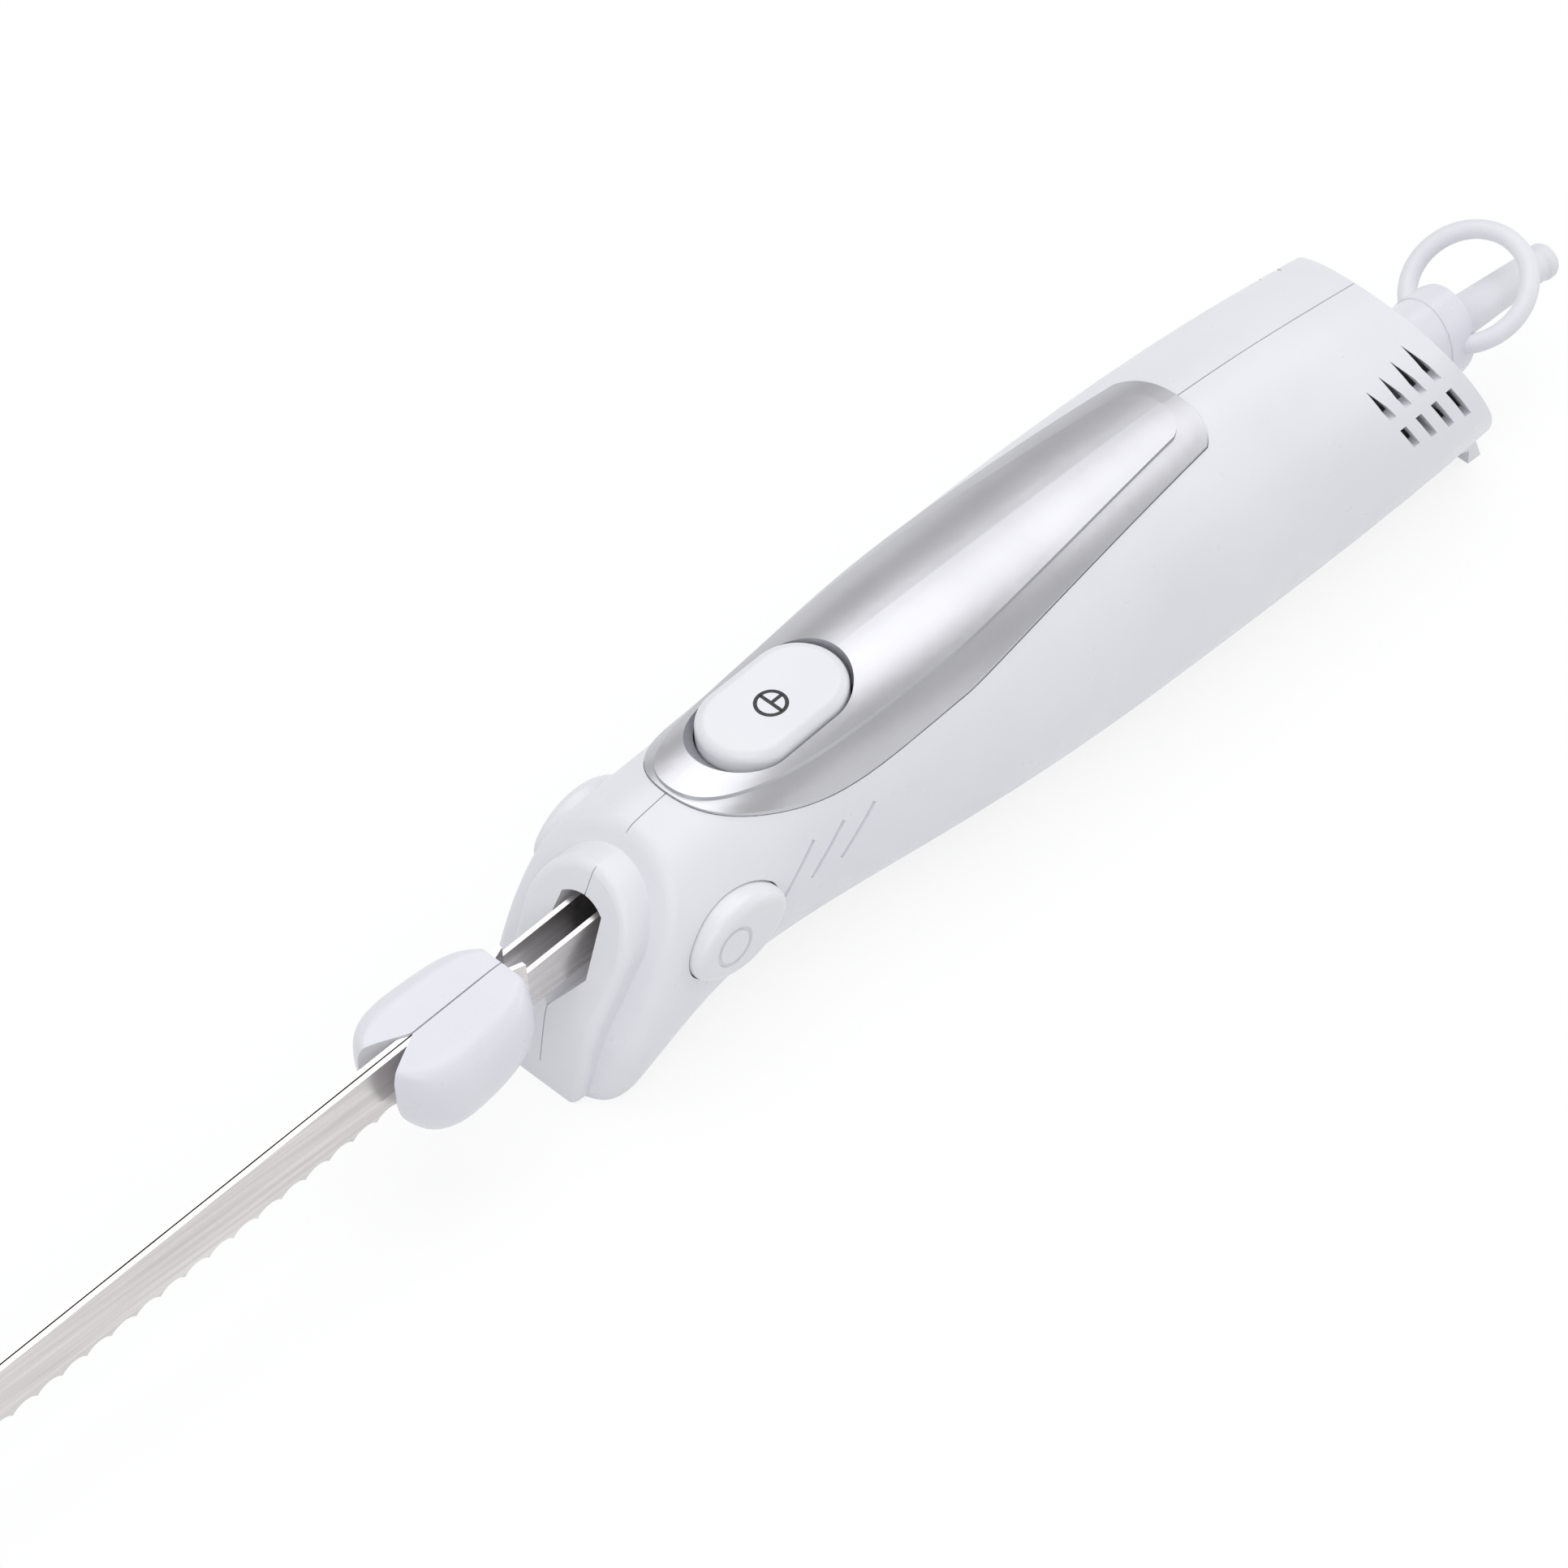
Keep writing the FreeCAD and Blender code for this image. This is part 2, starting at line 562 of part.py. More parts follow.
def cover_column(grow, front_grow):
    """The silver cover's plan drawn up from the drive line, grown by a margin, and by one at its front."""
    z = s.drive_height
    front = s.cover_front_x - front_grow
    middle = s.cover_wide_x
    corner_x = s.cover_corner_x + grow
    rear = s.cover_rear_x + grow
    run = corner_x - middle
    turn = corner_x + (rear - corner_x) * s.cover_turn_share
    edges = []
    for side in SIDES.values():
        wide = side * (s.cover_wide_half + grow)
        corner = side * (s.cover_corner_half + grow)
        waist = corner + (wide - corner) * s.cover_waist_share
        lead = front + (middle - front) * s.cover_lead_share
        edges.append(bezier((front, 0, z), (front, wide * s.cover_bow_share, z),
                            (lead, wide * s.cover_brow_share, z), (middle, wide, z)))
        edges.append(bezier((middle, wide, z), (middle + run * s.cover_taper_share, wide, z),
                            (middle + run * s.cover_run_share, waist, z), (corner_x, corner, z)))
        edges.append(bezier((corner_x, corner, z), (turn, corner * s.cover_turn_share, z),
                            (rear, corner * s.cover_waist_share, z), (rear, 0, z)))
    plan = Part.Face(Part.Wire(Part.__sortEdges__(edges)))
    return plan.extrude(Vector(0, 0, z))


def button_wire(z, grow_front, grow):
    """The power button's round-ended outline in the drive frame, longer towards the front."""
    radius = s.button_width / 2 + grow
    reach = s.button_length / 2 - s.button_width / 2
    front = s.button_x - reach - grow_front + grow
    rear = s.button_x + reach
    return Part.Wire([line((front, -radius, z), (rear, -radius, z)),
                      arc((rear, -radius, z), (rear + radius, 0, z), (rear, radius, z)),
                      line((rear, radius, z), (front, radius, z)),
                      arc((front, radius, z), (front - radius, 0, z), (front, -radius, z))])


def button_column(low, high, grow_front, grow):
    """A straight column on the power button's outline, in the drive frame."""
    return Part.Face(button_wire(low, grow_front, grow)).extrude(Vector(0, 0, high - low))


def release_oval(y, side, grow):
    """A release button's oval of four arcs on one side of the handle."""
    long = s.release_length / 2 + grow
    short = s.release_height / 2 + grow
    end = s.release_height / 2 * s.release_end_share + grow
    reach = long - end
    sink = (reach * reach - (short - end) * (short - end)) / (2 * (short - end))
    share = end / (short + sink - end)
    bend = reach + reach * share
    rise = sink * share
    tilt = math.radians(s.release_tilt)

    def at(u, v):
        return (s.release_x + u * math.cos(tilt) - v * math.sin(tilt), side * y,
                s.release_z + u * math.sin(tilt) + v * math.cos(tilt))

    return Part.Wire([arc(at(-bend, rise), at(0, short), at(bend, rise)),
                      arc(at(bend, rise), at(long, 0), at(bend, -rise)),
                      arc(at(bend, -rise), at(0, -short), at(-bend, -rise)),
                      arc(at(-bend, -rise), at(-long, 0), at(-bend, rise))])


def outlet_oval(start, length, shrink):
    """An upright oval column along the outlet's axis, in the outlet's frame."""
    oval = Part.Ellipse(Vector(), float(s.collar_high - shrink), float(s.collar_wide - shrink)).toShape()
    oval.Placement = Placement(Vector(start, 0, 0), ALONG["x"])
    return Part.Face(Part.Wire([oval])).extrude(Vector(length, 0, 0))


SCREW_PLACES = [(s.neck_screw_x, s.neck_screw_z), (s.palm_screw_x, s.palm_screw_z),
                (s.tail_screw_x, s.tail_screw_z)]
SHAFT_Z = -(s.wheel_module * s.wheel_teeth / 2 + s.worm_radius)


# Housing

def nose_boss():
    """The raised tombstone face round the blade slot."""
    crown = s.boss_head_z - s.boss_half
    far = s.blade_tip_x
    outline = [line((far, -s.boss_foot_half, 0), (far, s.boss_foot_half, 0)),
               line((far, s.boss_foot_half, 0), (far, s.boss_half, crown)),
               arc((far, s.boss_half, crown), (far, 0, s.boss_head_z), (far, -s.boss_half, crown)),
               line((far, -s.boss_half, crown), (far, -s.boss_foot_half, 0))]
    column = Part.Face(Part.Wire(outline)).extrude(Vector(s.palm_x - far, 0, 0))
    boss = column.common(ahead_of(BOSS_PROFILE, s.heel_length)).cut(ahead_of(BOSS_PROFILE, 0.0))
    front = [f for f in boss.Faces if f.CenterOfMass.x < s.boss_bend_x + s.heel_length / 2
             and abs(f.CenterOfMass.y) < s.boss_round]
    rim = [e for e in boss.Edges if abs(e.CenterOfMass.y) > s.boss_round
           and sum(any(e.isSame(other) for other in f.Edges) for f in front) == 1]
    return boss.makeFillet(float(s.boss_round), rim)


def rest_lip():
    """The lip under the rear end that the handle rests on."""
    rear = s.tail_face_foot_x
    front = rear - s.lip_length
    root = front - s.lip_notch
    high = s.lip_height
    points = [(root, high), (front, high * s.lip_ramp_share), (front, 0), (rear, 0),
              (rear + s.lip_length, high), (rear, high * 2), (root, high * 2)]
    lip = prism([(x, -s.lip_half, z) for x, z in points], (0, s.lip_half * 2, 0))
    return lip.cut(behind_tail(0.0))


def solid_handle():
    """The closed outer form with the nose, its boss and the rest lip."""
    form = handle_form(0.0).cut(ahead_of(BROW_PROFILE, 0.0)).cut(behind_tail(0.0))
    nose = [e for e in form.Edges if e.BoundBox.XMax < s.brow_head_x + s.brow_round
            and abs(e.CenterOfMass.y) > s.brow_round]
    form = form.makeFillet(float(s.brow_round), nose)
    form = form.fuse([nose_boss(), rest_lip()])
    span = s.end_x - s.nose_x
    ground = box_shape((s.nose_x * 2, -span, -span), (s.end_x * 2, span, 0))
    return form.cut(ground).removeSplitter()


def slab(place, low_z, high_z):
    """An inner rib across the handle at a place on the drive line."""
    span = s.end_x
    return in_drive(box_shape((place, -span, low_z), (place + s.rib_thick, span, high_z)))


def ribs():
    """The ribs that carry the guide sleeve, the gear frame and the motor."""
    gap = s.seat_gap
    span = s.end_x
    sleeve = box_shape((0, -s.sleeve_half_y - gap, -s.sleeve_half_z - gap),
                       (span, s.sleeve_half_y + gap, s.sleeve_half_z + gap))
    frame = box_shape((0, -s.frame_half_y - gap, s.frame_foot_z - gap),
                      (span, s.frame_half_y + gap, s.frame_top_z + gap))
    stator = rod_shape(s.stator_radius + gap, span, (0, 0, SHAFT_Z), (1, 0, 0))
    solids = [slab(s.sleeve_rib_x, -span, s.frame_rib_top_z).cut(in_drive(sleeve)),
              slab(s.frame_front_rib_x, -span, s.frame_rib_top_z).cut(in_drive(frame)),
              slab(s.frame_rear_rib_x, -span, span).cut(in_drive(frame))]
    for place in (s.stack_front_rib_x, s.stack_rear_rib_x, s.bracket_rib_x):
        solids.append(slab(place, -span, span).cut(in_drive(stator)))
    return solids


def screw_bosses():
    """Round posts for the housing screws and for the cord clamp."""
    reach = s.motor_half * 2
    posts = [rod_shape(s.screw_boss_radius, reach, (x, -s.motor_half, z), (0, 1, 0))
             for x, z in SCREW_PLACES]
    for turn in (1, -1):
        at = (s.clamp_x, -s.motor_half, s.clamp_z + turn * s.clamp_span / 2)
        posts.append(rod_shape(s.clamp_post_radius, s.motor_half + s.clamp_face_y, at, (0, 1, 0)))
    return posts


def cavity():
    """The hollow inside the housing, without its ribs and posts."""
    room = inner_form(s.wall).cut(ahead_of(BROW_PROFILE, s.nose_wall)).cut(behind_tail(s.wall))
    return room.cut(ribs() + screw_bosses())


def blade_slot():
    """The shield-shaped mouth for the tangs."""
    start = s.boss_foot_x - s.overrun
    shoulder = s.slot_shoulder_half
    head = s.slot_head_half
    outline = [line((start, 0, s.slot_foot_z), (start, shoulder, s.slot_shoulder_z)),
               line((start, shoulder, s.slot_shoulder_z), (start, head, s.slot_head_z)),
               arc((start, head, s.slot_head_z), (start, 0, s.slot_crown_z), (start, -head, s.slot_head_z)),
               line((start, -head, s.slot_head_z), (start, -shoulder, s.slot_shoulder_z)),
               line((start, -shoulder, s.slot_shoulder_z), (start, 0, s.slot_foot_z))]
    reach = s.slider_front_x - start
    return in_drive(Part.Face(Part.Wire(outline)).extrude(Vector(reach, 0, 0)))


def cover_recess():
    """The shallow seat of the silver cover."""
    return cover_column(s.seat_gap, s.seat_gap).cut(inner_form(s.cover_depth))


def release_holes():
    """The oval holes of the release buttons."""
    holes = []
    for side in SIDES.values():
        face = Part.Face(release_oval(s.release_flange_y - s.overrun, side, s.slide_gap))
        holes.append(face.extrude(Vector(0, side * s.motor_half, 0)))
    return holes


def grooves():
    """Three slanted grooves on each side."""
    core = handle_form(s.groove_depth)
    lines = []
    for side in SIDES.values():
        for i in range(int(s.groove_count)):
            bar = box_shape((-s.groove_length / 2, -s.motor_half, -s.groove_width / 2),
                            (s.groove_length / 2, s.motor_half, s.groove_width / 2))
            middle = Vector(s.groove_first_x + s.groove_pitch * i, side * s.motor_half, s.groove_z)
            bar.Placement = Placement(middle, Rotation(Vector(0, 1, 0), -float(s.groove_tilt)))
            lines.append(bar.cut(core))
    return lines


def vents():
    """Two rows of slots, slanted with the rear face, the upper ones pointed."""
    slots = []
    lean = math.tan(math.radians(s.vent_lean))
    for i in range(int(s.vent_count)):
        x = s.vent_first_x + s.vent_pitch * i

        def at(z, across_slot):
            return (x + (s.vent_bar_top_z - z) * lean + across_slot, 0, z)

        half = s.vent_width / 2
        foot = s.vent_foot_z - s.vent_foot_step * i
        head = s.vent_top_z + s.vent_top_step * i
        neck = head - s.vent_point
        upper = [at(s.vent_bar_top_z, -half), at(s.vent_bar_top_z, half), at(neck, half),
                 at(head, 0), at(neck, -half)]
        lower = [at(foot, -half), at(foot, half), at(s.vent_bar_bottom_z, half),
                 at(s.vent_bar_bottom_z, -half)]
        for points in (upper, lower):
            for side in SIDES.values():
                inner = side * s.vent_inner_y
                shifted = [(px, inner, pz) for px, _, pz in points]
                slots.append(prism(shifted, (0, side * s.motor_half, 0)))
    return slots


def outlet_hole():
    """The hole of the cord collar through the rear face."""
    hole = outlet_oval(-s.collar_length, s.collar_length * 2, s.collar_step - s.seat_gap)
    hole.Placement = OUTLET.multiply(hole.Placement)
    return hole


def screw_holes():
    """Blind holes in the left posts, stepped holes in the right ones, and the clamp's holes."""
    holes = []
    tip = s.screw_seat_y - s.screw_length - s.screw_radius
    for x, z in SCREW_PLACES:
        holes.append(rod_shape(s.screw_radius + s.bearing_gap, s.screw_seat_y + s.overrun - tip,
                               (x, tip, z), (0, 1, 0)))
        holes.append(rod_shape(s.screw_head_radius + s.slide_gap, s.motor_half,
                               (x, s.screw_seat_y, z), (0, 1, 0)))
    for turn in (1, -1):
        at = (s.clamp_x, s.clamp_face_y - s.clamp_screw_length, s.clamp_z + turn * s.clamp_span / 2)
        holes.append(rod_shape(s.clamp_screw_radius + s.bearing_gap, s.clamp_screw_length + s.overrun,
                               at, (0, 1, 0)))
    return holes


def seam():
    """The fine line where the two halves meet."""
    span = s.end_x * 2
    half = s.seam_width / 2
    along = box_shape((s.heel_length, -half, -span), (span, half, span)).cut(inner_form(s.seam_depth))
    front = box_shape((-span, -half, s.lip_height), (span, half, s.boss_head_z))
    return [along, front.common(ahead_of(BOSS_PROFILE, s.seam_depth))]


def housing():
    """The two halves of the moulded housing."""
    gap = s.skirt_wall + s.seat_gap
    low = s.button_foot_z - s.button_travel - s.slide_gap
    mouth = button_column(low, s.button_top_z + s.overrun, s.dish_front + gap, s.dish_side + gap)
    tools = [cavity(), blade_slot(), cover_recess(), in_drive(mouth), outlet_hole()]
    tools += seam() + release_holes() + grooves() + vents() + screw_holes()
    shell = solid_handle().cut(tools)
    span = s.end_x * 2
    for name, side in SIDES.items():
        near, far = sorted((0, side * span))
        half = shell.common(box_shape((-span, near, -span), (span, far, span)))
        largest = max(half.Solids, key=lambda solid: solid.Volume)
        hand_in_shape(f"housing_{name}", largest)


def housing_screws():
    """Three pan-head screws, all alike, driven from the right."""
    screws = []
    for x, z in SCREW_PLACES:
        seat = s.screw_seat_y
        shank = rod_shape(s.screw_radius, s.screw_length, (x, seat - s.screw_length, z), (0, 1, 0))
        head = knob(s.screw_head_radius, s.screw_crown_radius, s.screw_head_height, (x, seat, z), (0, 1, 0))
        reach = s.screw_head_radius * s.screw_cross_share
        thin = s.screw_radius * s.screw_slot_share
        bar = box_shape((x - reach, seat + s.screw_head_height / 2, z - thin),
                        (x + reach, seat + s.screw_head_height * 2, z + thin))
        cross = bar.copy()
        cross.rotate(Vector(x, seat, z), Vector(0, 1, 0), 90)
        screws.append(shank.fuse(head.cut([bar, cross])).removeSplitter())
    hand_in_shape("housing_screws", Part.makeCompound(screws))


def top_cover():
    """The silver cover: a low border round a raised panel, dished round the power button."""
    skin = handle_form(-s.cover_rise)
    border = skin.common(cover_column(0.0, 0.0))
    panel = handle_form(-s.panel_rise).common(cover_column(-s.panel_inset, -s.panel_front_inset))
    plate = border.fuse(panel).cut(inner_form(s.cover_depth - s.seat_gap))
    crest = s.button_top_z
    wall = s.skirt_wall
    skirt = in_drive(button_column(s.skirt_foot_z, crest, s.dish_front + wall, s.dish_side + wall))
    skirt = skirt.common(skin)
    dish = Part.makeLoft([button_wire(s.dish_foot_z, s.slide_gap, s.slide_gap),
                          button_wire(crest, s.dish_front, s.dish_side)], True, True)
    well = button_column(s.button_foot_z - s.overrun, crest + s.overrun, s.slide_gap, s.slide_gap)
    cover = plate.fuse(skirt).cut([in_drive(well), in_drive(dish)]).removeSplitter()
    hand_in_shape("top_cover", max(cover.Solids, key=lambda solid: solid.Volume))


# Buttons, switch and their springs

def power_button():
    """The oval push button with end tabs under the housing."""
    body = new_body("power_button", DRIVE, (s.button_x, 0, s.button_foot_z))
    cap = new_sketch(body, "Cap", "XY_Plane")
    draw_slot(cap, s.button_length, s.button_width)
    tall = s.button_top_z - s.button_foot_z
    feature = pad(body, cap, tall)
    doc.recompute()
    rim = [f"Edge{i}" for i, e in enumerate(feature.Shape.Edges, start=1)
           if e.BoundBox.ZMin > tall - s.button_round / 2]
    edge = body.newObject("PartDesign::Fillet", "Rim")
    edge.Base = (feature, rim)
    bind(edge, "Radius", s.button_round)
    inside = s.button_wall * 2
    hollow = new_sketch(body, "Hollow", "XY_Plane")
    draw_slot(hollow, s.button_length - inside, s.button_width - inside)
    room = body.newObject("PartDesign::Pocket", "Room")
    room.Profile = hollow
    bind(room, "Length", tall - s.button_wall)
    room.Reversed = True
    tabs = new_sketch(body, "Tabs", "XY_Plane")
    near = s.button_length / 2 - s.button_wall / 2
    far = s.button_length / 2 + s.button_tab
    wide = s.button_tab_half
    draw(tabs, [(near, -wide), (far, -wide), (far, wide), (near, wide)])
    draw(tabs, [(-far, -wide), (-near, -wide), (-near, wide), (-far, wide)])
    pad(body, tabs, s.button_tab_thick)


def switch():
    """The snap switch on the gear frame's deck, and its plunger under the power button."""
    foot = s.strip_half_z + s.deck_lift + s.deck_thick
    top = s.button_foot_z - s.button_travel - s.slide_gap
    half = s.switch_length / 2
    case = block("switch_case", (s.switch_x - half, -s.switch_width / 2, foot),
                 (s.switch_x + half, s.switch_width / 2, top))
    well = rod("switch_well", s.plunger_radius + s.bearing_gap, top - foot + s.overrun,
               (s.switch_x, 0, foot + s.switch_floor), "z")
    hand_in("switch_body", cut("switch_body", case, well), DRIVE)
    low = foot + s.switch_floor + s.button_travel + s.slide_gap
    high = s.button_top_z - s.button_wall
    pin = rod("switch_plunger", s.plunger_radius, high - low, (s.switch_x, 0, low), "z")
    hand_in("switch_plunger", pin, DRIVE)


def button_spring():
    """The spring between the guide sleeve and the power button."""
    length = s.button_top_z - s.button_wall - s.sleeve_half_z
    spring = coil(s.button_spring_radius, s.spring_wire, length, s.button_coils)
    spring.translate(Vector(s.button_spring_x, 0, s.sleeve_half_z))
    hand_in_shape("button_spring", spring, DRIVE)


def release_buttons():
    """The oval release buttons, each with a flange inside the wall and a stem to the latch."""
    for name, side in SIDES.items():
        face = s.release_face_y
        cap = Part.Face(release_oval(s.release_flange_y, side, 0.0))
        cap = cap.extrude(Vector(0, side * (face - s.release_flange_y), 0))
        rim = [e for e in cap.Edges if abs(e.CenterOfMass.y) > face - s.release_round / 2]
        cap = cap.makeFillet(float(s.release_round), rim)
        flange = Part.Face(release_oval(s.release_flange_y - s.release_flange_thick, side, s.release_flange))
        room = inner_form(s.wall + s.slide_gap).cut(ahead_of(BROW_PROFILE, s.nose_wall + s.slide_gap))
        flange = flange.extrude(Vector(0, side * s.release_flange_thick, 0)).common(room)
        tip = s.slider_outer_y + s.latch_thick + s.slide_gap + s.release_travel
        stem = rod_shape(s.release_stem_radius, s.release_flange_y - tip,
                         (s.release_x, side * tip, s.release_z + stem_rise()), (0, side, 0))
        middle = Vector(s.release_x - s.release_dish_back, side * face, s.release_z)
        floor = (middle.x, side * (face - s.release_dish_depth), middle.z)
        dish = rod_shape(s.release_dish_radius + s.release_dish_width, face, floor, (0, side, 0))
        dish = dish.cut(rod_shape(s.release_dish_radius, face, floor, (0, side, 0)))
        hand_in_shape(f"release_button_{name}", cap.fuse([flange, stem]).cut(dish).removeSplitter())


def stem_place():
    """Where the stems meet the latches, as a place on the drive line."""
    return s.release_x / math.cos(math.radians(s.drive_pitch))


def stem_rise():
    """How far the stems sit above the ovals' middle, to meet the latches on the drive line."""
    return s.drive_height + s.release_x * math.tan(math.radians(s.drive_pitch)) - s.release_z


def release_springs():
    """The springs between the guide sleeve and the release buttons."""
    for name, side in SIDES.items():
        foot = s.sleeve_half_y
        length = s.release_flange_y - s.release_flange_thick - foot
        spring = coil(s.release_spring_radius, s.spring_wire, length, s.release_coils)
        at = Vector(s.release_x, side * foot, s.release_z + stem_rise())
        turn = Rotation(Vector(1, 0, 0), -90 * side)
        hand_in_shape(f"release_spring_{name}", spring, Placement(at, turn))


# Cord outlet

def cord_outlet():
    """The oval collar in the rear face, the boot that leaves it and the hanging loop."""
    inside = -s.collar_length / 2
    bore = s.boot_radius + s.seat_gap
    sleeve = outlet_oval(inside, s.collar_length - inside, s.collar_step)
    brim = outlet_oval(s.wall * 2, s.collar_length - s.wall * 2, 0.0)
    rim = [e for e in brim.Edges if e.BoundBox.XMin > s.collar_length - s.collar_edge]
    brim = brim.makeChamfer(float(s.collar_edge), rim)
    hole = rod_shape(bore, s.collar_length * 2, (-s.collar_length, 0, 0), (1, 0, 0))
    hand_in_shape("cord_collar", sleeve.fuse(brim).cut(hole).removeSplitter(), OUTLET)
    rear = s.collar_length + s.boot_length
    bead = s.boot_bead
    turned("cord_boot", OUTLET, (0, 0, 0),
           [(s.boot_mouth_x, s.cord_radius), (inside, s.boot_mouth_radius), (inside, s.boot_radius),
            (s.collar_length + bead, s.boot_radius),
            (rear - bead * 4, s.boot_tip_radius), (rear - bead * 3, s.boot_tip_radius + bead / 2),
            (rear - bead, s.boot_tip_radius + bead / 2), (rear, s.boot_tip_radius), (rear, s.cord_radius)])
    doc.recompute()
    start = s.collar_length - s.loop_wire
    path = arc((start, -s.loop_base_half, s.loop_base_z), (s.loop_reach, 0, s.loop_lift),
               (start, s.loop_base_half, s.loop_base_z))
    first = path.FirstParameter
    hoop = Part.makeCircle(float(s.loop_wire), path.valueAt(first), path.tangentAt(first))
    sweep = math.degrees(path.LastParameter - first)
    loop = Part.Face(Part.Wire([hoop])).revolve(path.Curve.Center, path.Curve.Axis, sweep)
    loop = loop.cut(outlet_oval(inside, s.collar_length - inside, 0.0))
    hand_in_shape("hanging_loop", max(loop.Solids, key=lambda solid: solid.Volume), OUTLET)


def cord_clamp():
    """The bar that holds the cord inside the rear, with its two screws."""
    low = s.clamp_z - s.clamp_span / 2
    face = s.clamp_face_y
    half = s.clamp_width / 2
    bar = block("clamp_bar", (s.clamp_x - half, face, low - half),
                (s.clamp_x + half, face + s.clamp_thick, low + s.clamp_span + half))
    groove = rod("clamp_groove", s.cord_radius, s.clamp_width + s.overrun * 2,
                 (s.clamp_x - half - s.overrun, face, s.clamp_z), "x")
    clear = s.clamp_screw_radius + s.bearing_gap
    holes = [rod("clamp_hole", clear, s.clamp_thick + s.overrun * 2, (s.clamp_x, face - s.overrun, z), "y")
             for z in (low, low + s.clamp_span)]
    hand_in("cord_clamp", cut("cord_clamp", bar, groove, *holes))
    screws = []
    for step in (0, s.clamp_span):
        at = (s.clamp_x, face + s.clamp_thick, low + step)
        tip = (s.clamp_x, face + s.clamp_thick - s.clamp_screw_length, low + step)
        shank = rod_shape(s.clamp_screw_radius, s.clamp_screw_length, tip, (0, 1, 0))
        head = rod_shape(s.clamp_screw_head, s.clamp_screw_radius, at, (0, 1, 0))
        screws.append(shank.fuse(head).removeSplitter())
    hand_in_shape("clamp_screws", Part.makeCompound(screws))


# Blades

def blade_profile():
    """One blade's side outline with scalloped teeth, in the drive frame."""
    half = s.blade_height / 2
    edge = -half
    tip = s.blade_tip_x
    run = tip + s.blade_tip_run
    count = int((s.tooth_first_x - run) / s.tooth_pitch)
    last = s.tooth_first_x - count * s.tooth_pitch
    shoulder = s.joggle_rear_x
    edges = [line((shoulder, 0, half), (shoulder, 0, s.tang_half)),
             line((shoulder, 0, s.tang_half), (s.tang_end_x, 0, s.tang_half)),
             line((s.tang_end_x, 0, s.tang_half), (s.tang_end_x, 0, -s.tang_half)),
             line((s.tang_end_x, 0, -s.tang_half), (shoulder, 0, -s.tang_half)),
             line((shoulder, 0, -s.tang_half), (shoulder, 0, edge)),
             line((shoulder, 0, edge), (s.tooth_first_x, 0, edge))]
    for i in range(count):
        start = s.tooth_first_x - i * s.tooth_pitch
        end = s.tooth_first_x - (i + 1) * s.tooth_pitch
        edges.append(arc((start, 0, edge), ((start + end) / 2, 0, edge + s.tooth_depth), (end, 0, edge)))
    point = half * s.tip_point_share
    lead = tip + s.blade_tip_run * s.tip_lead_share
    back = tip + s.blade_tip_run * s.tip_back_share
    belly = s.tip_belly_share
    edges.append(bezier((last, 0, edge), (lead, 0, edge), (tip, 0, edge * belly), (tip, 0, point)))
    edges.append(bezier((tip, 0, point), (tip, 0, half * belly), (lead, 0, half), (back, 0, half)))
    edges.append(line((back, 0, half), (shoulder, 0, half)))
    return Part.Face(Part.Wire(edges))


def blade(side):
    """One blade with its joggled tang and ground edge."""
    near = s.blade_gap / 2
    far = near + s.blade_thick
    tang_near = s.tang_y - s.blade_thick / 2
    tang_far = s.tang_y + s.blade_thick / 2
    start = s.blade_tip_x - s.overrun
    end = s.tang_end_x + s.overrun
    strip = prism([(x, side * y, -s.blade_height) for x, y in (
        (start, near), (s.joggle_front_x, near), (s.joggle_rear_x, tang_near), (end, tang_near),
        (end, tang_far), (s.joggle_rear_x, tang_far), (s.joggle_front_x, far), (start, far))],
        (0, 0, s.blade_height * 2))
    sheet_cut = blade_profile().extrude(Vector(0, side * s.tang_y * 2, 0))
    plate = strip.common(sheet_cut)
    edge = -s.blade_height / 2
    bevel = prism([(start, side * y, z) for y, z in (
        (far, edge + s.bevel_height), (far + s.blade_thick, edge + s.bevel_height),
        (far + s.blade_thick, edge - s.overrun), (far - s.bevel_depth, edge - s.overrun),
        (far - s.bevel_depth, edge))], (s.tooth_first_x + s.tooth_pitch / 2 - start, 0, 0))
    gap = s.slide_gap
    high = s.latch_nose_half + gap
    hole = box_shape((s.latch_nose_x - gap, -s.slider_outer_y, -high),
                     (s.latch_nose_x + s.latch_nose_length + gap, s.slider_outer_y, high))
    return plate.cut([bevel, hole])


def blades():
    """The twin blades, tied at the tip by a rivet that runs in a slot of the right blade."""
    at = Vector(s.rivet_x, 0, s.rivet_z)
    wide = s.tang_y * 2
    hole = rod_shape(s.rivet_radius + s.bearing_gap, wide * 2, at - Vector(0, wide, 0), (0, 1, 0))
    hand_in_shape("blade_left", blade(-1).cut(hole), DRIVE)
    travel = s.stroke_half * 2 + s.slide_gap
    narrow = s.rivet_radius + s.slide_gap / 2
    tools = [box_shape(at - Vector(travel, wide, narrow), at + Vector(travel, wide, narrow))]
    for turn in (1, -1):
        tools.append(rod_shape(narrow, wide * 2, at + Vector(turn * travel, -wide, 0), (0, 1, 0)))
    hand_in_shape("blade_right", blade(1).cut(tools[0].fuse(tools[1:])), DRIVE)
    outer = s.blade_gap / 2 + s.blade_thick
    shank = rod_shape(s.rivet_radius, outer * 2 + s.slide_gap, at - Vector(0, outer, 0), (0, 1, 0))
    heads = []
    for side, lift in ((-1, 0.0), (1, s.slide_gap)):
        seat = at + Vector(0, side * (outer + lift), 0)
        heads.append(knob(s.rivet_head_radius, s.rivet_crown_radius, s.rivet_head_height,
                          seat, (0, side, 0)))
    hand_in_shape("blade_rivet", shank.fuse(heads).removeSplitter(), DRIVE)


GRIP_STATIONS = ("end", "heel", "flare", "wide", "hold", "turn", "brow", "nose")


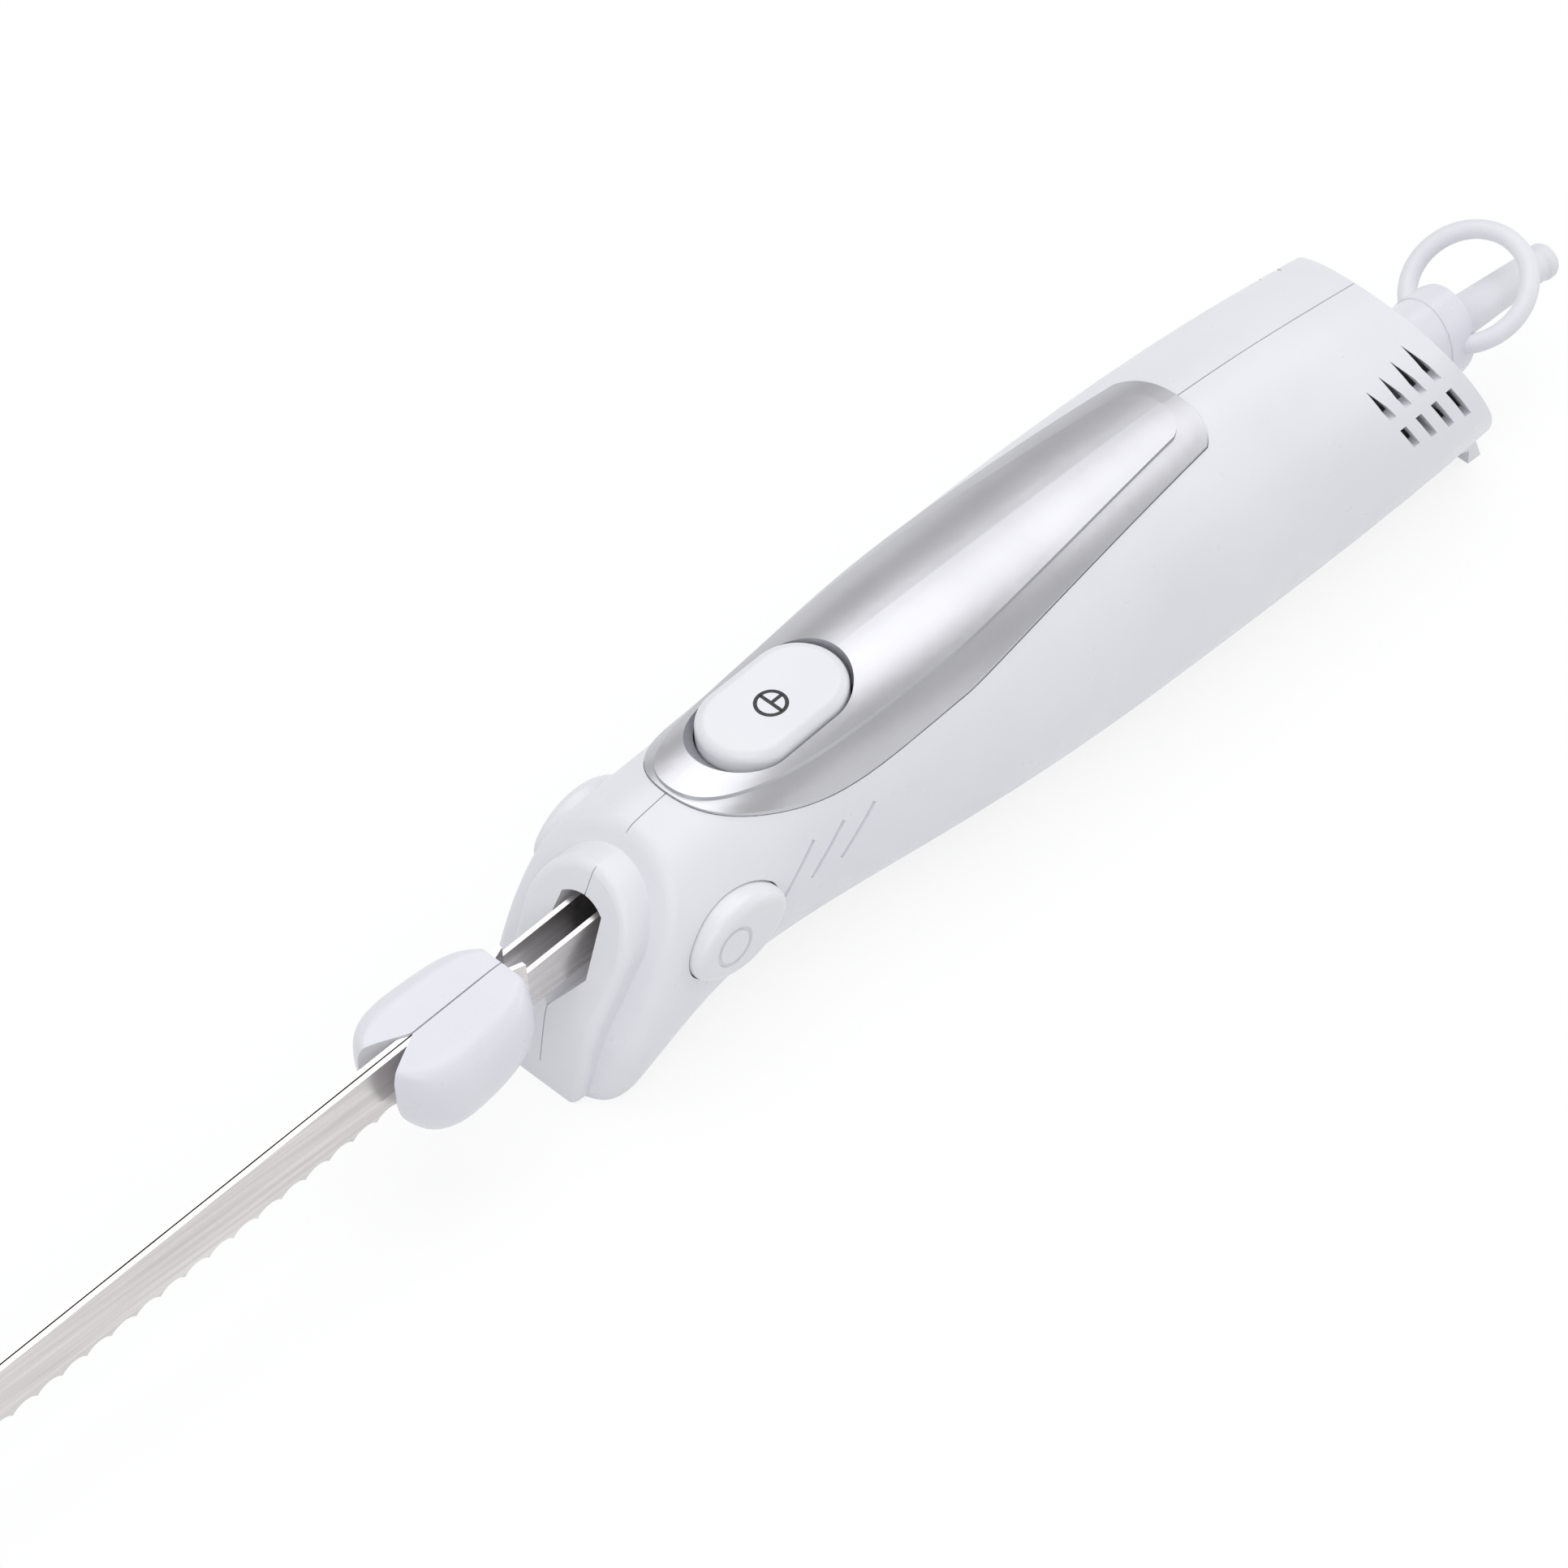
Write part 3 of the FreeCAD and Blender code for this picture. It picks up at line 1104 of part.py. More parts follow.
def grip_section(side, name):
    """One closed grip section: a flat top, a rounded flank and a narrower foot."""
    x, width, top, foot = (station(f"grip_{name}", part) for part in ("x", "half", "top", "foot"))
    near = side * s.blade_gap / 2
    brow = side * width * s.grip_top_share
    sole = side * width * s.grip_foot_share
    wide = side * width
    waist = (top + foot) / 2
    upper = waist + (top - waist) * s.section_share
    lower = waist + (foot - waist) * s.section_share
    lead = brow + (wide - brow) * s.section_share
    trail = sole + (wide - sole) * s.section_share
    return Part.Wire([line((x, near, top), (x, brow, top)),
                      bezier((x, brow, top), (x, lead, top), (x, wide, upper), (x, wide, waist)),
                      bezier((x, wide, waist), (x, wide, lower), (x, trail, foot), (x, sole, foot)),
                      line((x, sole, foot), (x, near, foot)), line((x, near, foot), (x, near, top))])


def grip_shape(side):
    """A rounded pod beside the blade, whose inner face slants away from it towards the front."""
    solid = Part.makeLoft([grip_section(side, name) for name in GRIP_STATIONS], True, False)
    near = s.blade_gap / 2
    lean = (s.grip_mouth_x - s.grip_nose_x) / (s.grip_mouth_half - near)
    far = s.grip_mouth_half * 2
    front = s.grip_mouth_x - lean * (far - near)
    low = -s.blade_height
    mouth = prism([(s.grip_mouth_x + lean * near, 0, low), (front, 0, low), (front, side * far, low)],
                  (0, 0, s.blade_height * 2))
    return solid.cut(mouth)


def blade_grips():
    """The flared grips, each moulded round its own blade."""
    for name, side in SIDES.items():
        hand_in_shape(f"blade_grip_{name}", grip_shape(side).cut(blade(side)), DRIVE)


# Drive

def blade_sliders():
    """The two sliders: a tang socket, a flat strip and a window round the crank pin."""
    clear = s.slide_gap
    reach = s.crank_radius + s.crank_pin_radius + s.stroke_half + clear
    tall = s.crank_radius + s.crank_pin_radius + clear
    for name, side in SIDES.items():

        def bar(piece, front, rear, inner, outer, half):
            near, far = sorted((side * inner, side * outer), key=float)
            return block(f"{piece}_{name}", (front, near, -half), (rear, far, half))

        yoke_front = s.wheel_x - reach - s.yoke_rim
        yoke_rear = s.wheel_x + reach + s.yoke_rim
        outer = s.slider_outer_y
        socket = bar("socket", s.slider_front_x, s.socket_rear_x, s.socket_inner_y, outer, s.socket_half_z)
        strip = bar("strip", s.socket_rear_x, yoke_front, s.slider_inner_y, outer, s.strip_half_z)
        yoke = bar("yoke", yoke_front, yoke_rear, s.slider_inner_y, outer, s.yoke_half_z)
        near = s.tang_y - s.blade_thick / 2 - s.seat_gap
        far = s.tang_y + s.blade_thick / 2 + s.seat_gap
        pocket = bar("pocket", s.slider_front_x - s.overrun, s.tang_end_x + s.seat_gap, near, far,
                     s.tang_half + s.seat_gap)
        window = bar("window", s.wheel_x - reach, s.wheel_x + reach, s.slider_inner_y - s.overrun,
                     s.slider_outer_y + s.overrun, tall)
        latch = bar("latch_window", s.latch_nose_x - s.seat_gap,
                    s.latch_nose_x + s.latch_nose_length + s.seat_gap, s.tang_y,
                    s.slider_outer_y + s.overrun, s.latch_nose_half + s.seat_gap)
        whole = fuse(f"slider_{name}", socket, strip, yoke)
        hand_in(f"blade_slider_{name}", cut(f"slider_{name}", whole, pocket, window, latch), DRIVE)
        leaf = bar("leaf", s.latch_front_x, s.latch_rear_x, s.slider_outer_y,
                   s.slider_outer_y + s.latch_thick, s.latch_half_z)
        hook = bar("hook", s.latch_nose_x, s.latch_nose_x + s.latch_nose_length, s.tang_y,
                   s.slider_outer_y, s.latch_nose_half)
        hand_in(f"latch_spring_{name}", fuse(f"latch_{name}", leaf, hook), DRIVE)


def guide_sleeve():
    """The fixed sleeve that guides the tang sockets."""
    y, z, wall = s.sleeve_half_y, s.sleeve_half_z, s.sleeve_wall
    outer = block("sleeve_outer", (s.sleeve_front_x, -y, -z), (s.sleeve_rear_x, y, z))
    inner = block("sleeve_inner", (s.sleeve_front_x - s.overrun, wall - y, wall - z),
                  (s.sleeve_rear_x + s.overrun, y - wall, z - wall))
    hole = rod("sleeve_hole", s.release_stem_radius + s.slide_gap, y * 4,
               (stem_place(), -y * 2, 0), "y")
    hand_in("guide_sleeve", cut("guide_sleeve", outer, inner, hole), DRIVE)


def gear_frame():
    """The moulded frame that carries the wheel's axle, the shaft's front bearings and the switch."""
    y, wall = s.frame_half_y, s.frame_wall
    cheek = y - s.frame_cheek
    front, rear = s.frame_front_x, s.frame_rear_x
    over = s.overrun
    outer = block("frame_outer", (front, -y, s.frame_foot_z), (rear, y, s.frame_top_z))
    room = block("frame_room", (front + wall, -cheek, s.frame_foot_z - over),
                 (rear - wall, cheek, s.frame_top_z + over))
    box = cut("frame_box", outer, room)
    deck_foot = s.strip_half_z + s.deck_lift
    deck = block("frame_deck", (front, -y, deck_foot), (s.deck_rear_x, y, deck_foot + s.deck_thick))
    crest = block("frame_crest", (front - over, -y - over, deck_foot + s.deck_thick),
                  (s.deck_rear_x, y + over, s.frame_top_z + over))
    web = block("frame_web", (s.bush_web_x, -y, s.frame_foot_z), (s.bush_web_x + wall, y, s.bush_web_top_z))
    whole = cut("frame_step", fuse("frame_whole", box, deck, web), crest)
    tools = []
    for name, side in SIDES.items():
        near, far = sorted((side * (s.slider_inner_y - s.slide_gap),
                            side * (s.slider_outer_y + s.slide_gap)), key=float)
        high = s.strip_half_z + s.slide_gap
        tools.append(block(f"frame_window_{name}", (front - over, near, -high),
                           (front + wall + over, far, high)))
    deep = wall + over * 2
    tools.append(rod("frame_axle_hole", s.axle_radius, y * 4, (s.wheel_x, -y * 2, 0), "y"))
    tools.append(rod("frame_bearing_hole", s.bearing_radius, deep, (rear - wall - over, 0, SHAFT_Z)))
    tools.append(rod("frame_bush_hole", s.bush_radius, deep, (s.bush_web_x - over, 0, SHAFT_Z)))
    hand_in("gear_frame", cut("gear_frame", whole, *tools), DRIVE)
    hand_in("wheel_axle", rod("wheel_axle", s.axle_radius, y * 2, (s.wheel_x, -y, 0), "y"), DRIVE)


def gear_wire(y, twist):
    """The worm wheel's toothed outline at one side, turned by a twist."""
    pitch_radius = s.wheel_module * s.wheel_teeth / 2
    step = 2 * math.pi / s.wheel_teeth
    slope = math.tan(math.radians(s.pressure_angle))
    half = math.pi * s.wheel_module / 4 - s.tooth_backlash
    levels = [(pitch_radius - s.tooth_dedendum, half + s.tooth_dedendum * slope),
              (pitch_radius + s.tooth_addendum, half - s.tooth_addendum * slope)]
    points = []
    for i in range(int(s.wheel_teeth)):
        middle = -math.pi / 2 + i * step + step / 2 + twist
        for radius, thick in (levels[0], levels[1]):
            points.append((radius, middle - thick / radius))
        for radius, thick in (levels[1], levels[0]):
            points.append((radius, middle + thick / radius))
    corners = [Vector(r * math.cos(a), y, r * math.sin(a)) for r, a in points]
    return Part.makePolygon(corners + corners[:1])


def worm_wheel():
    """The worm wheel with its slanted teeth, and a crank pin on each side half a turn apart."""
    face = s.wheel_half_face
    lead = s.wheel_module / (2 * s.worm_radius)
    twist = -face * lead / (s.wheel_module * s.wheel_teeth / 2)
    wheel = Part.makeLoft([gear_wire(-face, -twist), gear_wire(face, twist)], True, True)
    tools = [rod_shape(s.axle_radius + s.bearing_gap, face * 4, (0, -face * 2, 0), (0, 1, 0))]
    for side in SIDES.values():
        floor = face - s.hub_recess
        well = rod_shape(s.rim_radius, face, (0, side * floor, 0), (0, side, 0))
        hub = rod_shape(s.hub_radius, face, (0, side * floor, 0), (0, side, 0))
        tools.append(well.cut(hub))
        seat = (side * s.crank_radius, side * (face - s.crank_pin_seat), 0)
        tools.append(rod_shape(s.crank_pin_radius, face, seat, (0, side, 0)))
    wheel = wheel.cut(tools)
    place = DRIVE.multiply(Placement(Vector(s.wheel_x, 0, 0), Rotation()))
    hand_in_shape("worm_wheel", wheel, place)
    length = s.slider_outer_y - face + s.crank_pin_seat
    for name, side in SIDES.items():
        at = (side * s.crank_radius, side * (face - s.crank_pin_seat), 0)
        hand_in_shape(f"crank_pin_{name}", rod_shape(s.crank_pin_radius, length, at, (0, side, 0)), place)


def motor_shaft():
    """The motor shaft with the worm cut on its front end."""
    pitch = math.pi * s.wheel_module
    slope = math.tan(math.radians(s.pressure_angle))
    half = pitch / 4 - s.tooth_backlash
    root = s.worm_radius - s.tooth_dedendum
    crest = s.worm_radius + s.tooth_addendum
    sunk = root - s.tooth_backlash
    wide = half + (s.worm_radius - sunk) * slope
    thin = half - s.tooth_addendum * slope
    height = pitch * s.worm_turns
    helix = Part.makeHelix(pitch, height, float(s.worm_radius))
    corners = [Vector(x, 0, z) for x, z in ((sunk, -wide), (crest, -thin), (crest, thin), (sunk, wide))]
    thread = Part.Wire(helix.Edges).makePipeShell([Part.makePolygon(corners + corners[:1])], True, True)
    thread.Placement = Placement(Vector(s.wheel_x - height / 2, 0, 0), Rotation(Vector(1, 1, 1), 120))
    thread.rotate(Vector(), Vector(1, 0, 0), 90)
    collar = pitch / 2
    shaft = rod_shape(s.shaft_radius, s.shaft_rear_x - s.shaft_front_x, (s.shaft_front_x, 0, 0), (1, 0, 0))
    core = rod_shape(root, height + collar * 2, (s.wheel_x - height / 2 - collar, 0, 0), (1, 0, 0))
    place = DRIVE.multiply(Placement(Vector(0, 0, SHAFT_Z), Rotation()))
    hand_in_shape("motor_shaft", shaft.fuse([core, thread]).removeSplitter(), place)


def bearings():
    """The two shaft bearings and the small bush at the shaft's front end."""
    def sleeve(label, place, length, outer):
        edge = s.bearing_chamfer
        inner = s.shaft_radius + s.bearing_gap
        turned(label, DRIVE, (place, 0, SHAFT_Z),
               [(0, inner), (0, outer - edge), (edge, outer), (length - edge, outer),
                (length, outer - edge), (length, inner)])

    sleeve("front_bearing", s.frame_rear_x - s.frame_wall, s.frame_wall, s.bearing_radius)
    sleeve("nose_bush", s.bush_web_x, s.frame_wall, s.bush_radius)
    sleeve("rear_bearing", s.bracket_rear_x - s.bracket_plate, s.bracket_plate, s.bearing_radius)


def stator():
    """The laminated stator with two poles, and a saddle coil round each pole."""
    front, rear = s.stack_front_x, s.stack_rear_x
    length = rear - front
    outer = s.stator_radius
    inner = outer - s.yoke_ring
    shoe = s.pole_bore + s.pole_shoe_thick
    pieces = [ring("stator_yoke", outer, inner, length, (front, 0, SHAFT_Z))]
    shoe_ring = ring("pole_ring", shoe, s.pole_bore, length, (front, 0, SHAFT_Z))
    for name, side in (("upper", 1), ("lower", -1)):

        def span(piece, x0, x1, half, low, high):
            near, far = sorted((SHAFT_Z + side * low, SHAFT_Z + side * high), key=float)
            return block(f"{piece}_{name}", (x0, -half, near), (x1, half, far))

        pieces.append(span("pole", front, rear, s.pole_half, s.pole_bore + s.pole_shoe_thick / 2,
                           inner + s.yoke_ring / 2))
        pieces.append(common(f"shoe_{name}", shoe_ring, span("shoe_box", front, rear, s.pole_shoe_half,
                                                             s.pole_shoe_thick, outer)))
        gap = s.coil_gap
        saddle = ring(f"saddle_{name}", inner - gap, shoe + gap, length + s.coil_overhang * 2,
                      (front - s.coil_overhang, 0, SHAFT_Z))
        arch_box = span("arch_box", front - s.coil_overhang, rear + s.coil_overhang, s.coil_half,
                        s.pole_shoe_thick, outer)
        arch = common(f"arch_{name}", saddle, arch_box)
        window = span("coil_window", front - gap, rear + gap, s.pole_half + gap, s.pole_shoe_thick, outer)
        hand_in(f"field_coil_{name}", cut(f"field_coil_{name}", arch, window), DRIVE)
    hand_in("stator_core", fuse("stator_core", *pieces), DRIVE)


def grooved_drum(label, place, length, radius, bore, width, depth):
    """A drum on the shaft with slots round it."""
    body = new_body(label, DRIVE, (place, 0, SHAFT_Z))
    outline = new_sketch(body, "Outline", "YZ_Plane")
    draw_circle(outline, radius)
    draw_circle(outline, bore)
    pad(body, outline, length)
    doc.recompute()
    slot = new_sketch(body, "Slot", "YZ_Plane")
    half = width / 2
    draw(slot, [(-half, radius - depth), (half, radius - depth), (half, radius + s.overrun),
                (-half, radius + s.overrun)])
    feature = body.newObject("PartDesign::Pocket", "Groove")
    feature.Profile = slot
    bind(feature, "Length", length)
    feature.Reversed = True
    around(body, feature, s.slot_count)


def armature():
    """The turning core, its windings and the commutator."""
    bore = s.shaft_radius
    front, rear = s.stack_front_x, s.stack_rear_x
    radius = s.pole_bore - s.air_gap
    grooved_drum("armature_core", front, rear - front, radius, bore, s.slot_width, s.slot_depth)
    grooved_drum("commutator", s.commutator_front_x, s.commutator_length, s.commutator_radius, bore,
                 s.segment_gap, s.segment_depth)
    rings = []
    for start in (front - s.winding_length, rear):
        bulge = rod_shape(s.winding_radius, s.winding_length, (start, 0, 0), (1, 0, 0))
        bulge = bulge.makeChamfer(float(s.winding_round), [e for e in bulge.Edges if len(e.Vertexes) == 1])
        rings.append(bulge.cut(rod_shape(bore, s.winding_length, (start, 0, 0), (1, 0, 0))))
    place = DRIVE.multiply(Placement(Vector(0, 0, SHAFT_Z), Rotation()))
    hand_in_shape("armature_windings", Part.makeCompound(rings), place)


def cooling_fan():
    """The fan on the shaft: a plate and a hub with straight blades."""
    body = new_body("cooling_fan", DRIVE, (s.fan_front_x, 0, SHAFT_Z))
    plate = new_sketch(body, "Plate", "YZ_Plane")
    draw_circle(plate, s.fan_radius)
    draw_circle(plate, s.shaft_radius)
    pad(body, plate, s.fan_plate)
    hub = new_sketch(body, "Hub", "YZ_Plane")
    draw_circle(hub, s.fan_hub_radius)
    draw_circle(hub, s.shaft_radius)
    pad(body, hub, s.fan_length)
    vane = new_sketch(body, "Vane", "YZ_Plane")
    half = s.fan_blade_thick / 2
    root = s.fan_blade_root
    tip = s.fan_radius - s.fan_blade_thick
    draw(vane, [(-half, root), (half, root), (half, tip), (-half, tip)])
    feature = pad(body, vane, s.fan_length)
    around(body, feature, s.fan_blades)


def motor_bracket():
    """The rear bracket: a cup behind the stator with windows for air and for the brush holders."""
    front, rear = s.stack_rear_x, s.bracket_rear_x
    over = s.overrun
    cup = cut("bracket_cup", rod("bracket_outer", s.stator_radius, rear - front, (front, 0, SHAFT_Z)),
              rod("bracket_room", s.stator_radius - s.bracket_wall, rear - front - s.bracket_plate + over,
                  (front - over, 0, SHAFT_Z)))
    reach = s.stator_radius + over
    half = s.holder_size / 2
    tools = [rod("bracket_bore", s.bearing_radius, s.bracket_plate + over * 2,
                 (rear - s.bracket_plate - over, 0, SHAFT_Z)),
             block("bracket_air", (s.air_window_front_x, -s.air_window_half, SHAFT_Z - reach),
                   (s.air_window_rear_x, s.air_window_half, SHAFT_Z + reach)),
             block("bracket_ports", (s.holder_x - half, -reach, SHAFT_Z - half),
                   (s.holder_x + half, reach, SHAFT_Z + half))]
    hand_in("motor_bracket", cut("motor_bracket", cup, *tools), DRIVE)


def brush_gear():
    """A holder, carbon brush and spring on each side of the commutator."""
    half = s.holder_size / 2
    inside = half - s.holder_wall
    carbon = inside - s.brush_gap
    for name, side in SIDES.items():

        def bar(piece, inner, outer, size):
            near, far = sorted((side * inner, side * outer), key=float)
            return block(f"{piece}_{name}", (s.holder_x - size, near, SHAFT_Z - size),
                         (s.holder_x + size, far, SHAFT_Z + size))

        case = bar("holder_case", s.holder_inner_y, s.holder_outer_y, half)
        room = bar("holder_room", s.holder_inner_y - s.overrun, s.holder_outer_y - s.holder_wall, inside)
        hand_in(f"brush_holder_{name}", cut(f"brush_holder_{name}", case, room), DRIVE)
        block_of_carbon = bar("carbon", s.commutator_radius + s.bearing_gap, s.brush_end_y, carbon)
        hand_in(f"carbon_brush_{name}", block_of_carbon, DRIVE)
        length = s.holder_outer_y - s.holder_wall - s.brush_end_y
        spring = coil(carbon - s.brush_wire, s.brush_wire, length, s.brush_coils)
        place = Placement(Vector(s.holder_x, side * s.brush_end_y, SHAFT_Z),
                          Rotation(Vector(1, 0, 0), -90 * side))
        hand_in_shape(f"brush_spring_{name}", spring, DRIVE.multiply(place))


def suppressor():
    """The mains suppressor capacitor on the back of the motor bracket."""
    start = s.bracket_rear_x
    low = SHAFT_Z + s.capacitor_lift
    case = block("capacitor", (start, -s.capacitor_width / 2, low),
                 (start + s.capacitor_length, s.capacitor_width / 2, low + s.capacitor_height))
    hand_in("suppressor_capacitor", case, DRIVE)


# Build, check and write

def build():
    """Makes every sub-part."""
    for make in (housing, housing_screws, top_cover, power_button, switch, button_spring, release_buttons,
                 release_springs, cord_outlet, cord_clamp, blades, blade_grips, blade_sliders, guide_sleeve,
                 gear_frame, worm_wheel, motor_shaft, bearings, stator, armature, cooling_fan,
                 motor_bracket, brush_gear, suppressor):
        make()
    doc.recompute()


def check():
    """Stops the build where an object failed or a sub-part has no valid solid."""
    for thing in doc.Objects:
        if "Invalid" in thing.State or "Error" in thing.State:
            raise RuntimeError(f"{thing.Label} failed: {thing.State}")
    for thing in sub_parts:
        shape = thing.Shape
        if shape.isNull() or not shape.isValid() or not shape.Solids:
            raise RuntimeError(f"{thing.Label} has no valid solid")


def write():
    """Writes each sub-part to its own file."""
    os.makedirs("parts", exist_ok=True)
    for thing in sub_parts:
        thing.Shape.exportStep(os.path.join("parts", f"{thing.Label}.step"))
        print(f"{thing.Label}: {len(thing.Shape.Solids)} solids, {thing.Shape.Volume:.1f} mm3")


build()
check()
write()
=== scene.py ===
"""An electric carving knife on a plain pale floor, dressed over its CAD frame."""
import json
import math

import bmesh
import bpy
from mathutils import Matrix, Vector
from mathutils.bvhtree import BVHTree

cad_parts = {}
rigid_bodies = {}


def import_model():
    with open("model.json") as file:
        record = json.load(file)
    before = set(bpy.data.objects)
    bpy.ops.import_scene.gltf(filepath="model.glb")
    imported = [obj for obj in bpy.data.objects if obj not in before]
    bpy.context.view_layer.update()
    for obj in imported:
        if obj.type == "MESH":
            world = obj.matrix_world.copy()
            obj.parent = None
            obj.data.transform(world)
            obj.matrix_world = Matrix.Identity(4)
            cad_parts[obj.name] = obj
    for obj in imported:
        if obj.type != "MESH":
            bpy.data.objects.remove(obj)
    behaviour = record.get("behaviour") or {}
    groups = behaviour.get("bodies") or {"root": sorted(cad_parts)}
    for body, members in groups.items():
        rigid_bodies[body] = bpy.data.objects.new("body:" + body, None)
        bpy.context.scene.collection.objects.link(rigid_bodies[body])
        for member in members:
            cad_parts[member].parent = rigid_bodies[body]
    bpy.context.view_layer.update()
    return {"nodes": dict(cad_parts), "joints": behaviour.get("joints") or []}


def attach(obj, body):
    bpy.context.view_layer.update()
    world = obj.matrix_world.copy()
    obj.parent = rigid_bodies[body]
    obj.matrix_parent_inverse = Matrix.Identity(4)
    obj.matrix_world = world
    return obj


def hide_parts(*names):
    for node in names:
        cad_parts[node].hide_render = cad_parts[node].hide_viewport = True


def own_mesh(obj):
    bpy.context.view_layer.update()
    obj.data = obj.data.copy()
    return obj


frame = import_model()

NODES = frame["nodes"]


# Materials

# The middle part of a noise's range, over which a drift is spread
NOISE_LOW = 0.3
NOISE_HIGH = 0.7

# Scales of noise, in features per metre
TONE_DRIFT = 35
GLOSS_DRIFT = 160
MOULDED_GRAIN = 5200
BRUSHED_LINES = 900
BRUSHED_RELIEF = 2400
METAL_STAINS = 260
METAL_PITS = 4000
PAINT_DRIFT = 60
PAINT_FLAKES = 6500
INK_DRIFT = 3000
INK_GLOSS = 1800

# Heights of relief, in metres
FINE_GRAIN = 0.000002
VINYL_GRAIN = 0.000008
COARSE_GRAIN = 0.00001
BRUSHED_DEPTH = 0.000003
PIT_DEPTH = 0.000002

# Stretches of a grain: drawn out along the knife, and packed into thin sheets along it
ALONG = (0.03, 1, 1)
STACKED = (60, 1, 1)


def srgb(red, green, blue):
    """A colour given as screen values from 0 to 255, as the linear values that a shader takes."""
    def linear(value):
        value /= 255
        return value / 12.92 if value <= 0.04045 else ((value + 0.055) / 1.055) ** 2.4
    return linear(red), linear(green), linear(blue), 1


class Finish:
    """A material with one principled shader, and the nodes that vary it over the surface."""

    def __init__(self, name, roughness, metallic=0.0):
        self.material = bpy.data.materials.new(name)
        self.material.use_nodes = True
        self.nodes = self.material.node_tree.nodes
        self.links = self.material.node_tree.links
        self.shader = self.nodes["Principled BSDF"]
        self.shader.inputs["Roughness"].default_value = roughness
        self.shader.inputs["Metallic"].default_value = metallic
        self.place = self.nodes.new("ShaderNodeTexCoord").outputs["Object"]

    def set(self, **sockets):
        """Values that are the same all over the surface."""
        for name, value in sockets.items():
            self.shader.inputs[name.replace("_", " ")].default_value = value

    def stretched(self, scale):
        """The place on the surface, stretched for a grain that runs along an axis."""
        mapping = self.nodes.new("ShaderNodeMapping")
        mapping.inputs["Scale"].default_value = scale
        self.links.new(self.place, mapping.inputs["Vector"])
        return mapping.outputs["Vector"]

    def noise(self, scale, detail=2.0, stretch=None):
        """Noise over the surface, with its scale in features per metre."""
        texture = self.nodes.new("ShaderNodeTexNoise")
        texture.inputs["Scale"].default_value = scale
        texture.inputs["Detail"].default_value = detail
        self.links.new(self.stretched(stretch) if stretch else self.place, texture.inputs["Vector"])
        return texture.outputs["Fac"]

    def ramp(self, value, low, high):
        """A noise spread between two values."""
        spread = self.nodes.new("ShaderNodeMapRange")
        spread.inputs["From Min"].default_value = NOISE_LOW
        spread.inputs["From Max"].default_value = NOISE_HIGH
        spread.inputs["To Min"].default_value = low
        spread.inputs["To Max"].default_value = high
        self.links.new(value, spread.inputs["Value"])
        return spread.outputs["Result"]

    def colour(self, value, first, second):
        """A base colour that drifts between two near tones."""
        mix = self.nodes.new("ShaderNodeMix")
        mix.data_type = "RGBA"
        mix.inputs["A"].default_value = first
        mix.inputs["B"].default_value = second
        self.links.new(self.ramp(value, 0, 1), mix.inputs["Factor"])
        self.links.new(mix.outputs["Result"], self.shader.inputs["Base Color"])

    def rough(self, value, low, high):
        """A roughness that drifts between two values."""
        self.links.new(self.ramp(value, low, high), self.shader.inputs["Roughness"])

    def bump(self, value, height, strength):
        """Relief of a height in metres."""
        relief = self.nodes.new("ShaderNodeBump")
        relief.inputs["Distance"].default_value = height
        relief.inputs["Strength"].default_value = strength
        self.links.new(value, relief.inputs["Height"])
        self.links.new(relief.outputs["Normal"], self.shader.inputs["Normal"])


def moulded(name, first, second, roughness, grain=FINE_GRAIN):
    """Moulded plastic: a slow drift of tone and gloss, and a fine moulded grain."""
    finish = Finish(name, roughness)
    finish.colour(finish.noise(TONE_DRIFT), first, second)
    finish.rough(finish.noise(GLOSS_DRIFT, 3), roughness * 0.85, roughness * 1.2)
    finish.bump(finish.noise(MOULDED_GRAIN), grain, 0.15)
    return finish


def brushed(name, first, second, roughness, stretch):
    """Metal with a grain that is stretched along the knife."""
    finish = Finish(name, roughness, 1.0)
    lines = finish.noise(BRUSHED_LINES, 3, stretch)
    finish.colour(lines, first, second)
    finish.rough(lines, roughness * 0.8, roughness * 1.3)
    finish.bump(finish.noise(BRUSHED_RELIEF, stretch=stretch), BRUSHED_DEPTH, 0.6)
    return finish


def turned_metal(name, first, second, roughness):
    """Plain metal with slight stains and fine pits."""
    finish = Finish(name, roughness, 1.0)
    stains = finish.noise(METAL_STAINS, 4)
    finish.colour(stains, first, second)
    finish.rough(stains, roughness * 0.8, roughness * 1.25)
    finish.bump(finish.noise(METAL_PITS), PIT_DEPTH, 0.5)
    return finish


def silver_paint(name, first, second, roughness):
    """Satin metallic paint: a slow drift of tone, fine flakes and a thin lacquer."""
    finish = Finish(name, roughness, 0.9)
    finish.colour(finish.noise(PAINT_DRIFT, 3), first, second)
    finish.rough(finish.noise(PAINT_FLAKES, 1), roughness - 0.02, roughness + 0.02)
    finish.set(Coat_Weight=0.15, Coat_Roughness=0.15)
    return finish


def printed_ink(name, first, second, roughness):
    """Printed ink with a slightly uneven tone and gloss."""
    finish = Finish(name, roughness)
    finish.colour(finish.noise(INK_DRIFT), first, second)
    finish.rough(finish.noise(INK_GLOSS), roughness * 0.84, roughness * 1.2)
    return finish


